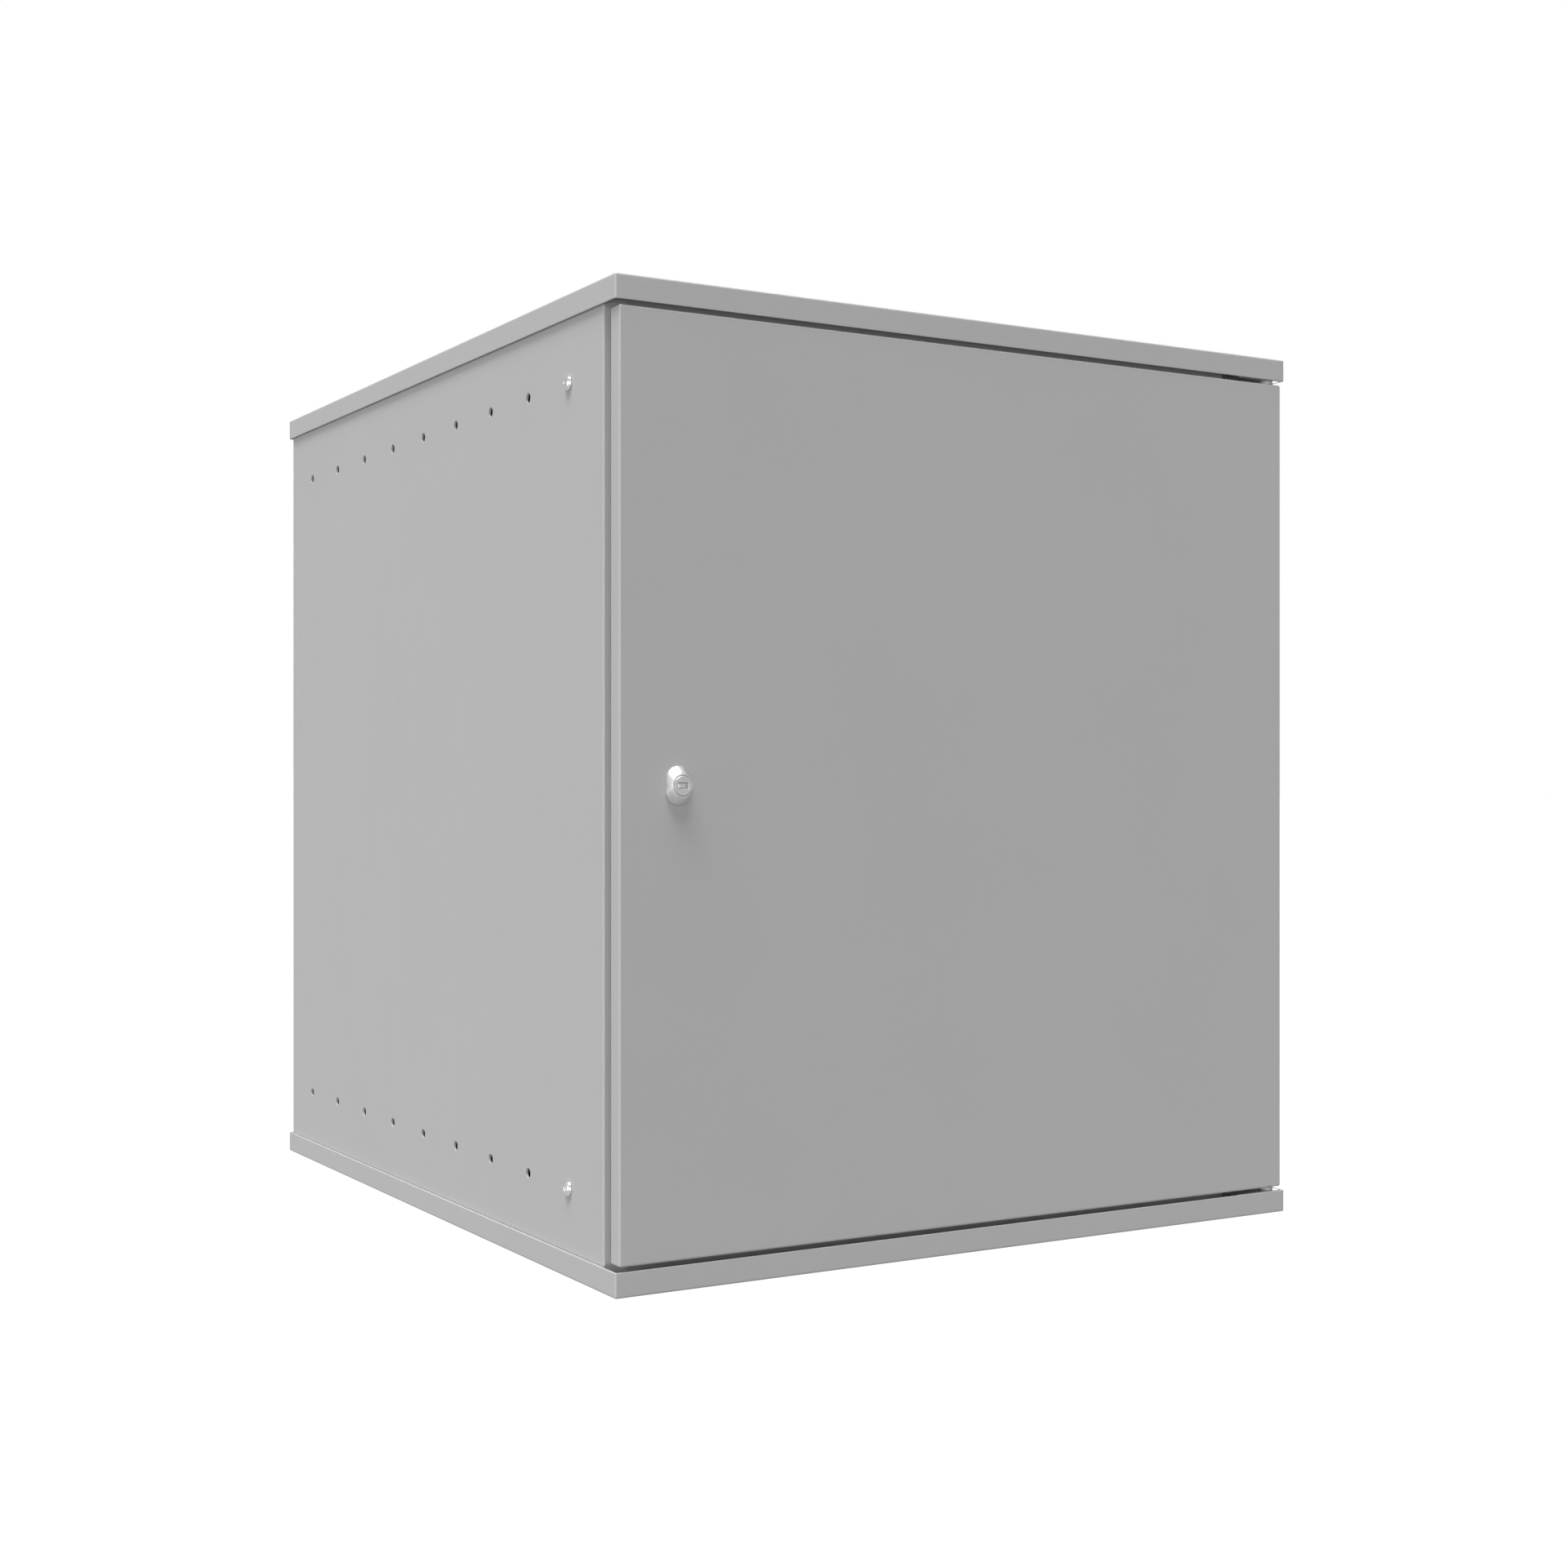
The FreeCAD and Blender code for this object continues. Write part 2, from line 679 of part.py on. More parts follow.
make_group("gland_studs", [(weld_stud, (u, v, CAP_INSIDE_LOW), Z) for u, v in gland_places])
make_group("gland_nuts", [(flange_nut, (u, v, GLAND_HIGH), Z) for u, v in gland_places])


# ---------------------------------------------------------------- door

def make_door_panel():
    """Make the door: a pan with its returns turned back, and the lock and hinge holes."""
    body = new_body("door_panel")
    side = value(DOOR_SIDE)
    low = value(DOOR_LOW)
    high = value(DOOR_HIGH)
    face = value(DOOR_FACE)
    pad(body, "XZ", DOOR_FACE, DOOR_BACK, rectangle(minus(DOOR_SIDE), DOOR_SIDE, DOOR_LOW, DOOR_HIGH))
    pocket(body, "XZ", DOOR_INSIDE, DOOR_BACK,
           rectangle(plus(minus(DOOR_SIDE), "gauge"), less(DOOR_SIDE, "gauge"),
                     plus(DOOR_LOW, "gauge"), less(DOOR_HIGH, "gauge")))
    pocket(body, "XZ", DOOR_FACE, DOOR_INSIDE, circle("barrel_diameter", LOCK_X, MIDDLE))
    pocket(body, "XY", less(DOOR_HIGH, "gauge"), DOOR_HIGH,
           circle("pin_diameter + 2 * pin_clearance", HINGE_X, HINGE_Y))
    pocket(body, "XY", DOOR_LOW, plus(DOOR_LOW, "gauge"), circle("pin_diameter", HINGE_X, HINGE_Y))
    corners = lies_at(x=(-side, side), z=(low, high))
    rims = either(lies_at(x=(-side, side), y=(face,)), lies_at(z=(low, high), y=(face,)))
    soften(body, "bend_radius", either(corners, rims))


def make_door_fittings():
    """Make the stiffener channel, the gasket ring and the two blocks at the hinge corners."""
    channel = new_body("door_stiffener")
    half = "stiffener_width / 2"
    depth = plus(DOOR_INSIDE, "stiffener_depth")
    edge = plus(half, "stiffener_flange")
    inner = less(half, "gauge")
    root = plus(DOOR_INSIDE, "gauge")
    profile = [
        (minus(edge), DOOR_INSIDE), (minus(inner), DOOR_INSIDE), (minus(inner), less(depth, "gauge")),
        (inner, less(depth, "gauge")), (inner, DOOR_INSIDE), (edge, DOOR_INSIDE),
        (edge, root), (half, root), (half, depth),
        (minus(half), depth), (minus(half), root), (minus(edge), root),
    ]
    pad(channel, "XY", less(MIDDLE, "stiffener_height / 2"), plus(MIDDLE, "stiffener_height / 2"), profile)

    gasket = new_body("door_gasket")
    centre_width = "opening_width + gauge"
    centre_height = "opening_height + gauge"
    end = plus(DOOR_INSIDE, "gasket_thick")
    pad(gasket, "XZ", DOOR_INSIDE, end,
        centred(plus(centre_width, "gasket_width"), plus(centre_height, "gasket_width"), "0", MIDDLE))
    pocket(gasket, "XZ", DOOR_INSIDE, end,
           centred(less(centre_width, "gasket_width"), less(centre_height, "gasket_width"), "0", MIDDLE))

    for label, low, bore in (("pin_guide", less(DOOR_HIGH, "guide_drop", "guide_thick"),
                              "pin_diameter + 2 * pin_clearance"),
                             ("lower_hinge_block", plus(DOOR_LOW, "gauge"), "pin_diameter")):
        block = new_body(label)
        outer_side = less(DOOR_SIDE, "gauge")
        high = plus(low, "guide_thick")
        pad(block, "XY", low, high, rectangle(less(outer_side, "guide_width"), outer_side,
                                              DOOR_INSIDE, plus(DOOR_INSIDE, "guide_depth")))
        pocket(block, "XY", low, high, circle(bore, HINGE_X, HINGE_Y))


make_door_panel()
make_door_fittings()


# ---------------------------------------------------------------- hinges

def make_hinge_bracket(label, sign):
    """Make a C-shaped bracket on a cap; its outer leg carries the hinge bush."""
    def height(distance):
        """Return a height measured from the cap's inner face towards the door."""
        return less(CAP_INSIDE_HIGH, distance) if sign > 0 else plus(CAP_INSIDE_LOW, distance)

    body = new_body(label)
    bracket_inner = less(BRACKET_BACK, "bracket_gauge")
    leg = less("bracket_rise", "bracket_gauge")
    end = "bracket_rise"
    profile = [
        (BRACKET_FRONT, height("0")), (BRACKET_BACK, height("0")), (BRACKET_BACK, height(end)),
        (BRACKET_FRONT, height(end)), (BRACKET_FRONT, height(leg)), (bracket_inner, height(leg)),
        (bracket_inner, height("bracket_gauge")), (BRACKET_FRONT, height("bracket_gauge")),
    ]
    pad(body, "YZ", less(DOOR_SIDE, "bracket_width"), DOOR_SIDE, profile)
    inner_leg = (height("bracket_gauge"), height("0"))
    outer_leg = (height(end), height(leg))
    if sign < 0:
        inner_leg = inner_leg[::-1]
        outer_leg = outer_leg[::-1]
    pocket(body, "XY", *inner_leg, *[circle("fixing_hole", u, v) for u, v in bracket_places])
    pocket(body, "XY", *outer_leg, circle("bush_diameter", HINGE_X, HINGE_Y))


def make_hinge_bush(label, sign):
    """Make a flanged plastic bush in the bracket's outer leg, with its flange towards the door."""
    leg_outer = less(CAP_INSIDE_HIGH, "bracket_rise") if sign > 0 else plus(CAP_INSIDE_LOW, "bracket_rise")
    body = new_body(label)
    if sign > 0:
        flange = (less(leg_outer, "bush_flange_thick"), leg_outer)
        sleeve = (leg_outer, plus(leg_outer, "bracket_gauge"))
    else:
        flange = (leg_outer, plus(leg_outer, "bush_flange_thick"))
        sleeve = (less(leg_outer, "bracket_gauge"), leg_outer)
    pad(body, "XY", *flange, circle("bush_flange", HINGE_X, HINGE_Y))
    pad(body, "XY", *sleeve, circle("bush_diameter", HINGE_X, HINGE_Y))
    span = (flange[0], sleeve[1]) if sign > 0 else (sleeve[0], flange[1])
    pocket(body, "XY", *span, circle("pin_diameter + 2 * pin_clearance", HINGE_X, HINGE_Y))


def make_hinge_pins():
    """Make the fixed lower pin and the sliding upper pin with its clip."""
    lower = new_body("lower_hinge_pin")
    pin_low = less(DOOR_LOW, "pin_engagement")
    pad(lower, "XY", pin_low, plus(DOOR_LOW, "gauge + guide_thick"), circle("pin_diameter", HINGE_X, HINGE_Y))
    soften(lower, "edge_chamfer", lies_at(z=(value(pin_low),)), "Chamfer")

    upper = new_body("upper_hinge_pin")
    guide_low = less(DOOR_HIGH, "guide_drop", "guide_thick")
    knob_top = less(guide_low, "knob_gap")
    knob_low = less(knob_top, "knob_height")
    pin_top = plus(DOOR_HIGH, "pin_engagement")
    pad(upper, "XY", knob_low, knob_top, circle("knob_diameter", HINGE_X, HINGE_Y))
    soften(upper, "edge_chamfer", lies_at(z=(value(knob_low),)), "Chamfer")
    pad(upper, "XY", knob_top, pin_top, circle("pin_diameter", HINGE_X, HINGE_Y))
    soften(upper, "edge_chamfer", lies_at(z=(value(pin_top),)), "Chamfer")

    clip = new_body("hinge_pin_clip")
    clip_high = less(DOOR_HIGH, "gauge", "clip_gap")
    clip_low = less(clip_high, "clip_thick")
    pad(clip, "XY", clip_low, clip_high, circle("knob_diameter", HINGE_X, HINGE_Y))
    pocket(clip, "XY", clip_low, clip_high, circle("pin_diameter", HINGE_X, HINGE_Y))


def make_hinge_spring():
    """Make the compression spring between the guide and the clip: an eight-sided wire swept round a helix."""
    low = plus(less(DOOR_HIGH, "guide_drop"), "spring_wire / 2", "spring_gap")
    high = less(DOOR_HIGH, "gauge", "clip_gap", "clip_thick", "spring_wire / 2", "spring_gap")
    helix = doc.addObject("Part::Helix", "spring_helix")
    bind(helix, "Pitch", "spring_pitch")
    bind(helix, "Height", less(high, low))
    bind(helix, "Radius", "spring_diameter / 2")
    wire = doc.addObject("Part::RegularPolygon", "spring_wire_section")
    wire.Polygon = 8
    bind(wire, "Circumradius", "spring_wire / 2")
    climb = math.degrees(math.atan2(value("spring_pitch"), math.pi * value("spring_diameter")))
    wire.Placement.Rotation = FreeCAD.Rotation(X, climb - 90)
    bind(wire, "Placement.Base.x", "spring_diameter / 2")
    spring = doc.addObject("Part::Sweep", "hinge_pin_spring")
    spring.Label = "hinge_pin_spring"
    spring.Sections = [wire]
    spring.Spine = (helix, [])
    spring.Solid = True
    spring.Frenet = True
    place(spring, (HINGE_X, HINGE_Y, low), Z)
    nodes.append(spring)


for position, sign in (("upper", 1), ("lower", -1)):
    make_hinge_bracket(f"{position}_hinge_bracket", sign)
    make_hinge_bush(f"{position}_hinge_bush", sign)
make_hinge_pins()
make_hinge_spring()


# ---------------------------------------------------------------- lock

BARREL_BACK = plus(DOOR_FACE, "barrel_length")
CAM_FRONT = plus(BARREL_BACK, "cam_gap")
CAM_BACK = plus(CAM_FRONT, "cam_gauge")


def make_lock_housing():
    """Make the lock's housing: an oval head with sloping sides and a threaded barrel behind it."""
    body = new_body("lock_housing")
    start = less(DOOR_FACE, "lock_proud")
    straight = "lock_height - lock_width"
    pad(body, "XZ", start, DOOR_FACE, circle("lock_width", LOCK_X, plus(MIDDLE, f"({straight}) / 2")))
    pad(body, "XZ", start, DOOR_FACE, circle("lock_width", LOCK_X, less(MIDDLE, f"({straight}) / 2")))
    pad(body, "XZ", start, DOOR_FACE, centred("lock_width", straight, LOCK_X, MIDDLE))
    soften(body, "lock_taper", lies_at(y=(value(start),)), "Chamfer")
    pad(body, "XZ", DOOR_FACE, BARREL_BACK, circle("barrel_diameter", LOCK_X, MIDDLE))
    pocket(body, "XZ", start, BARREL_BACK, circle("plug_diameter", LOCK_X, MIDDLE))


def make_lock_plug():
    """Make the turning plug: a key slot in front and a square drive behind."""
    body = new_body("lock_plug")
    start = less(DOOR_FACE, "lock_proud", "plug_proud")
    pad(body, "XZ", start, CAM_FRONT, circle("plug_diameter - 2 * plug_clearance", LOCK_X, MIDDLE))
    pad(body, "XZ", CAM_FRONT, CAM_BACK, centred("drive_square", "drive_square", LOCK_X, MIDDLE))
    pocket(body, "XZ", start, plus(start, "key_slot_depth"),
           centred("key_slot_width", "key_slot_height", LOCK_X, MIDDLE))
    pocket(body, "XZ", less(CAM_BACK, "screw_length"), CAM_BACK, circle("stud_diameter", LOCK_X, MIDDLE))


def make_lock_cam():
    """Make the cam, hanging down from the plug while the lock is open."""
    body = new_body("lock_cam")
    tip = less(MIDDLE, "cam_reach - cam_width / 2")
    arm = rectangle(less(LOCK_X, "cam_width / 2"), plus(LOCK_X, "cam_width / 2"), tip, MIDDLE)
    pad(body, "XZ", CAM_FRONT, CAM_BACK, arm)
    pad(body, "XZ", CAM_FRONT, CAM_BACK, circle("cam_width", LOCK_X, MIDDLE))
    pad(body, "XZ", CAM_FRONT, CAM_BACK, circle("cam_width", LOCK_X, tip))
    pocket(body, "XZ", CAM_FRONT, CAM_BACK, centred("drive_square", "drive_square", LOCK_X, MIDDLE))


make_lock_housing()
make_lock_plug()
make_lock_cam()
lock_ring = make_nut("lock_ring", "lock_nut_flats", "lock_nut_thick", "barrel_diameter")
make_group("lock_nut", [(lock_ring, (LOCK_X, DOOR_INSIDE, MIDDLE), Y)])
cam_ring = make_washer("cam_ring", "earth_washer", "cam_washer_thick", "stud_diameter + 2 * washer_clearance")
make_group("cam_washer", [(cam_ring, (LOCK_X, CAM_BACK, MIDDLE), Y)])
make_group("cam_screw", [(button_screw, (LOCK_X, plus(CAM_BACK, "cam_washer_thick"), MIDDLE), Y)])


# ---------------------------------------------------------------- earth studs

EARTH_X = less(CAP_SIDE, "earth_inset_x")
EARTH_Y = plus(FRONT, "earth_inset_y")


def make_earth_point(name, base, direction):
    """Make an earth stud with its washer and nut; base gives expressions at a distance from the sheet."""
    make_group(f"{name}_earth_stud", [(earth_stud, base("0"), direction)])
    make_group(f"{name}_earth_washer", [(earth_washer, base("0"), direction)])
    make_group(f"{name}_earth_nut", [(earth_nut, base("earth_washer_thick"), direction)])


make_earth_point("cabinet", lambda rise: (EARTH_X, EARTH_Y, plus(CAP_INSIDE_LOW, rise)), Z)
make_earth_point("door", lambda rise: (EARTH_X, plus(DOOR_INSIDE, rise), "door_earth_height"), Y)


# ---------------------------------------------------------------- check and export

doc.recompute()
for item in doc.Objects:
    if "Invalid" in item.State or "Error" in item.State:
        raise ValueError(f"{item.Label} did not recompute")
for node in nodes:
    shape = node.Shape
    if shape.isNull() or not shape.isValid() or shape.Volume <= 0:
        raise ValueError(f"{node.Label} has no valid solid")
    shape.exportStep(f"parts/{node.Label}.step")
    print(f"{node.Label}: {len(shape.Solids)} solid(s), {shape.Volume / 1000:.2f} cm3")
print(f"{len(nodes)} nodes")
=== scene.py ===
"""Looks for the wall cabinet: materials, detailed pieces that stand for CAD nodes, stage, light and camera.

Places are in metres. Shapes and named sizes are in millimetres, unless a comment gives another unit. +Z is
up, the door faces -Y, and +X is to the right as seen from the front.
"""

import json
import math

import bmesh
import bpy
from mathutils import Matrix, Vector

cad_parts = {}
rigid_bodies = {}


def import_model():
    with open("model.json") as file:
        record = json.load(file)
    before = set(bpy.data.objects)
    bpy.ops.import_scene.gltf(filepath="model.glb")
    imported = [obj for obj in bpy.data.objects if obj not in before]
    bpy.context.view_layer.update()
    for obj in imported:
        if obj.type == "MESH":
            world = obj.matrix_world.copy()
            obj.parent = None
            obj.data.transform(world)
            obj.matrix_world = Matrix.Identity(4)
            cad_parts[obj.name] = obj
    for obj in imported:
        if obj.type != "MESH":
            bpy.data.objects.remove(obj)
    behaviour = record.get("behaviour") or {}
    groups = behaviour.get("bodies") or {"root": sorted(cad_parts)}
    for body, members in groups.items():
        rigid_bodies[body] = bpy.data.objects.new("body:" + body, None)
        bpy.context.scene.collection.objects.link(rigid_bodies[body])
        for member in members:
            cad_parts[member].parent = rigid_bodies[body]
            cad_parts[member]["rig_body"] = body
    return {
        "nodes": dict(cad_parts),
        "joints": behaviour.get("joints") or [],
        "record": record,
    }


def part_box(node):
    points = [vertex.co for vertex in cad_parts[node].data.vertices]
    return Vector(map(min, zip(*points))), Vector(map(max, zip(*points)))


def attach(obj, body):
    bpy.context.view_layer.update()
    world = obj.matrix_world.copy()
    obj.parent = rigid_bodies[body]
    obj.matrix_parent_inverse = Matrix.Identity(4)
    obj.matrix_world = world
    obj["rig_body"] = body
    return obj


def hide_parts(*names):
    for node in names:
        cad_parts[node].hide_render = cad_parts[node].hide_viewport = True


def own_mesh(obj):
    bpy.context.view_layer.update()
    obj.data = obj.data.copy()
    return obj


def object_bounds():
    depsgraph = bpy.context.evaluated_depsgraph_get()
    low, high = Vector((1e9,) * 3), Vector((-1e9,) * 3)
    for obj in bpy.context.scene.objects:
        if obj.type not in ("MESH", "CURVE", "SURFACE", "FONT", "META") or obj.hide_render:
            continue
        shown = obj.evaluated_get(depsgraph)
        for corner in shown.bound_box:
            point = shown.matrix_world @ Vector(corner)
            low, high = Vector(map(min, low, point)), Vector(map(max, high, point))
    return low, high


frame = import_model()
cad_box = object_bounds()

MM = 0.001
TURN = 2 * math.pi
X = Vector((1, 0, 0))
Y = Vector((0, 1, 0))
Z = Vector((0, 0, 1))
SLOTS = {subpart["node"]: subpart["material_slot"] for subpart in frame["record"]["subparts"]}
JOINTS = {joint["name"]: joint for joint in frame["joints"]}
HINGE = tuple(JOINTS["door_hinge"]["pos_m"][:2])


# ---------------------------------------------------------------- materials

def new_material(name):
    """Return a material with its node tree, shader and object coordinates."""
    material = bpy.data.materials.new(name)
    material.use_nodes = True
    tree = material.node_tree
    shader = tree.nodes["Principled BSDF"]
    coordinates = tree.nodes.new("ShaderNodeTexCoord").outputs["Object"]
    return material, tree, shader, coordinates


def noise(tree, coordinates, scale, detail=4, stretch=(1, 1, 1)):
    """Return the factor of a noise texture; scale is in repeats per metre."""
    mapping = tree.nodes.new("ShaderNodeMapping")
    mapping.inputs["Scale"].default_value = stretch
    texture = tree.nodes.new("ShaderNodeTexNoise")
    texture.inputs["Scale"].default_value = scale
    texture.inputs["Detail"].default_value = detail
    tree.links.new(coordinates, mapping.inputs["Vector"])
    tree.links.new(mapping.outputs["Vector"], texture.inputs["Vector"])
    return texture.outputs["Fac"]


def cells(tree, coordinates, scale):
    """Return the distance from the middle of each cell of a cell texture; scale is in cells per metre."""
    texture = tree.nodes.new("ShaderNodeTexVoronoi")
    texture.inputs["Scale"].default_value = scale
    tree.links.new(coordinates, texture.inputs["Vector"])
    return texture.outputs["Distance"]


def remap(tree, value, low, high, start=0.3, stop=0.7):
    """Return a value stretched from one range to another."""
    item = tree.nodes.new("ShaderNodeMapRange")
    item.inputs["From Min"].default_value = start
    item.inputs["From Max"].default_value = stop
    item.inputs["To Min"].default_value = low
    item.inputs["To Max"].default_value = high
    tree.links.new(value, item.inputs["Value"])
    return item.outputs["Result"]


def combine(tree, operation, first, second):
    """Return two values put together by a math operation."""
    item = tree.nodes.new("ShaderNodeMath")
    item.operation = operation
    for index, value in enumerate((first, second)):
        if isinstance(value, (int, float)):
            item.inputs[index].default_value = value
        else:
            tree.links.new(value, item.inputs[index])
    return item.outputs["Value"]


def tint(tree, value, dark, light):
    """Return a colour between two colours, by a value from 0 to 1."""
    ramp = tree.nodes.new("ShaderNodeValToRGB")
    ramp.color_ramp.elements[0].color = (*dark, 1)
    ramp.color_ramp.elements[1].color = (*light, 1)
    tree.links.new(value, ramp.inputs["Fac"])
    return ramp.outputs["Color"]


def bump(tree, shader, normal, *layers):
    """Put layers of (height, distance in metres, strength) on a shader as bump, over a normal or None."""
    for height, distance, strength in layers:
        item = tree.nodes.new("ShaderNodeBump")
        item.inputs["Distance"].default_value = distance
        item.inputs["Strength"].default_value = strength
        tree.links.new(height, item.inputs["Height"])
        if normal:
            tree.links.new(normal, item.inputs["Normal"])
        normal = item.outputs["Normal"]
    tree.links.new(normal, shader.inputs["Normal"])


def rounded_edges(tree, radius):
    """Return a normal with edges rounded by a radius, and a value that rises to 1 along those edges."""
    rounded = tree.nodes.new("ShaderNodeBevel")
    rounded.samples = 4
    rounded.inputs["Radius"].default_value = radius
    geometry = tree.nodes.new("ShaderNodeNewGeometry")
    likeness = tree.nodes.new("ShaderNodeVectorMath")
    likeness.operation = "DOT_PRODUCT"
    tree.links.new(rounded.outputs["Normal"], likeness.inputs[0])
    tree.links.new(geometry.outputs["Normal"], likeness.inputs[1])
    return rounded.outputs["Normal"], remap(tree, likeness.outputs["Value"], 1, 0, 0.75, 0.99)


def powder_coat(name, grey):
    """Light grey powder coat: faint mottling, fine orange peel and edges rubbed a little lighter."""
    material, tree, shader, coordinates = new_material(name)
    normal, edge = rounded_edges(tree, 0.7 * MM)
    mottle = remap(tree, noise(tree, coordinates, 9, 3), 0, 0.6)
    speckle = remap(tree, noise(tree, coordinates, 1400, 2), 0, 0.4)
    patchy = remap(tree, noise(tree, coordinates, 160, 5), 0.2, 1)
    worn = combine(tree, "MULTIPLY", edge, patchy)
    dark = [value * 0.985 for value in grey]
    light = [value * 1.015 for value in grey]
    rubbed = tree.nodes.new("ShaderNodeMix")
    rubbed.data_type = "RGBA"
    rubbed.inputs["B"].default_value = (*(value * 1.2 for value in grey), 1)
    tree.links.new(combine(tree, "MULTIPLY", worn, 0.45), rubbed.inputs["Factor"])
    tree.links.new(tint(tree, combine(tree, "ADD", mottle, speckle), dark, light), rubbed.inputs["A"])
    tree.links.new(rubbed.outputs["Result"], shader.inputs["Base Color"])
    satin = remap(tree, noise(tree, coordinates, 45, 4), 0.50, 0.58)
    tree.links.new(combine(tree, "SUBTRACT", satin, combine(tree, "MULTIPLY", worn, 0.12)),
                   shader.inputs["Roughness"])
    shader.inputs["Specular IOR Level"].default_value = 0.35
    bump(tree, shader, normal,
         (noise(tree, coordinates, 420, 2), 0.12 * MM, 0.10),
         (noise(tree, coordinates, 2600, 2), 0.04 * MM, 0.12))
    return material


def metal(name, dark, light, roughness, grain=300, stretch=(1, 1, 1), spangle=None):
    """Plated metal: cloudy tone, fine grain or scratches, polished edges and, on sheet, zinc spangle."""
    material, tree, shader, coordinates = new_material(name)
    normal, worn = rounded_edges(tree, 0.3 * MM)
    cloud = noise(tree, coordinates, 60, 4)
    lines = noise(tree, coordinates, grain, 6, stretch)
    tone = combine(tree, "ADD", remap(tree, cloud, 0, 0.5), remap(tree, lines, 0, 0.35))
    tone = combine(tree, "ADD", tone, combine(tree, "MULTIPLY", worn, 0.3))
    if spangle:
        tone = combine(tree, "ADD", tone, remap(tree, cells(tree, coordinates, spangle), -0.15, 0.15, 0, 0.8))
    tree.links.new(tint(tree, tone, dark, light), shader.inputs["Base Color"])
    polish = combine(tree, "MULTIPLY", worn, 0.08)
    rough = remap(tree, lines, roughness - 0.05, roughness + 0.09)
    tree.links.new(combine(tree, "SUBTRACT", rough, polish), shader.inputs["Roughness"])
    shader.inputs["Metallic"].default_value = 1.0
    bump(tree, shader, normal, (lines, 0.03 * MM, 0.25), (cloud, 0.1 * MM, 0.05))
    return material


def foam(name):
    """Black closed-cell foam: matt, with small open cells at its skin."""
    material, tree, shader, coordinates = new_material(name)
    pores = cells(tree, coordinates, 1500)
    tone = tint(tree, pores, (0.012, 0.012, 0.013), (0.045, 0.045, 0.047))
    tree.links.new(tone, shader.inputs["Base Color"])
    tree.links.new(remap(tree, noise(tree, coordinates, 120, 3), 0.82, 0.95), shader.inputs["Roughness"])
    shader.inputs["Specular IOR Level"].default_value = 0.25
    bump(tree, shader, None, (pores, 0.3 * MM, 0.5), (noise(tree, coordinates, 90, 3), 0.6 * MM, 0.2))
    return material


def nylon(name):
    """Nylon, its colour painted a darker grey as shade for the hinge gap it sits in: slightly translucent,
    with a fine spark-eroded grain.
    """
    material, tree, shader, coordinates = new_material(name)
    normal, worn = rounded_edges(tree, 0.3 * MM)
    grain = noise(tree, coordinates, 2200, 3)
    shade = combine(tree, "ADD", remap(tree, noise(tree, coordinates, 200, 3), 0, 0.8),
                    combine(tree, "MULTIPLY", worn, 0.2))
    # Painted shade: the off-white nylon's colour is darkened to the grey it shows in the shaded gap.
    tree.links.new(tint(tree, shade, (0.38, 0.38, 0.36), (0.48, 0.48, 0.46)), shader.inputs["Base Color"])
    tree.links.new(remap(tree, grain, 0.36, 0.50), shader.inputs["Roughness"])
    shader.inputs["Subsurface Weight"].default_value = 0.1
    shader.inputs["Subsurface Scale"].default_value = 0.5 * MM
    bump(tree, shader, normal, (grain, 0.04 * MM, 0.3))
    return material


PAINT_GREY = (0.415, 0.415, 0.415)
ALONG_Z = (1, 1, 0.04)
MATERIALS = {
    "paint": powder_coat("light_grey_powder_coat", PAINT_GREY),
    "zinc_sheet": metal("zinc_plated_sheet", (0.42, 0.43, 0.45), (0.60, 0.61, 0.63), 0.38, 500, ALONG_Z, 90),
    "zinc_fastener": metal("zinc_plated_fastener", (0.46, 0.47, 0.48), (0.66, 0.67, 0.68), 0.30),
    "bright_screw": metal("bright_nickel", (0.62, 0.62, 0.62), (0.82, 0.82, 0.82), 0.20),
    "lock_metal": metal("satin_nickel", (0.48, 0.48, 0.475), (0.60, 0.60, 0.595), 0.48, 700),
    "spring_steel": metal("spring_steel", (0.16, 0.16, 0.17), (0.30, 0.30, 0.31), 0.32),
    "bush_plastic": nylon("nylon_painted_shade_grey"),
    "foam": foam("black_foam"),
}

for node, slot in SLOTS.items():
    surface = frame["nodes"][node].data
    surface.materials.clear()
    surface.materials.append(MATERIALS[slot])


# ---------------------------------------------------------------- places in the frame

def solids(node):
    """Return the low and high corners of each separate solid of a CAD node."""
    skin = bmesh.new()
    skin.from_mesh(frame["nodes"][node].data)
    bmesh.ops.remove_doubles(skin, verts=skin.verts, dist=0.001 * MM)
    waiting = set(skin.verts)
    found = []
    while waiting:
        group = [waiting.pop()]
        for vertex in group:
            for edge in vertex.link_edges:
                other = edge.other_vert(vertex)
                if other in waiting:
                    waiting.remove(other)
                    group.append(other)
        low = [min(vertex.co[axis] for vertex in group) for axis in range(3)]
        high = [max(vertex.co[axis] for vertex in group) for axis in range(3)]
        found.append((low, high))
    skin.free()
    return [(Vector(low), Vector(high)) for low, high in sorted(found)]


def facing(point, direction, turn=0):
    """Return the place of a shape in millimetres: its origin at a point, its +Z along a direction."""
    tilt = Vector(direction).to_track_quat("Z", "Y").to_matrix().to_4x4()
    return Matrix.Translation(point) @ tilt @ Matrix.Rotation(turn, 4, "Z") @ Matrix.Scale(MM, 4)


def stands(node, direction):
    """Return a place at one end of each solid of a CAD node, for a shape that grows along a direction.

    A direction of length 2 points away from the cabinet's middle, and one of length -2 towards it.
    """
    places = []
    for low, high in solids(node):
        middle = (low + high) / 2
        way = Vector(direction)
        if way.length > 1.5:
            way = way.normalized() * math.copysign(1, middle.dot(way))
        start = middle - way * abs(way.dot(high - low)) / 2
        places.append(facing(start, way))
    return places


def size(node):
    """Return the size in millimetres of one solid of a CAD node."""
    low, high = solids(node)[0]
    return (high - low) / MM


# ---------------------------------------------------------------- shapes in millimetres

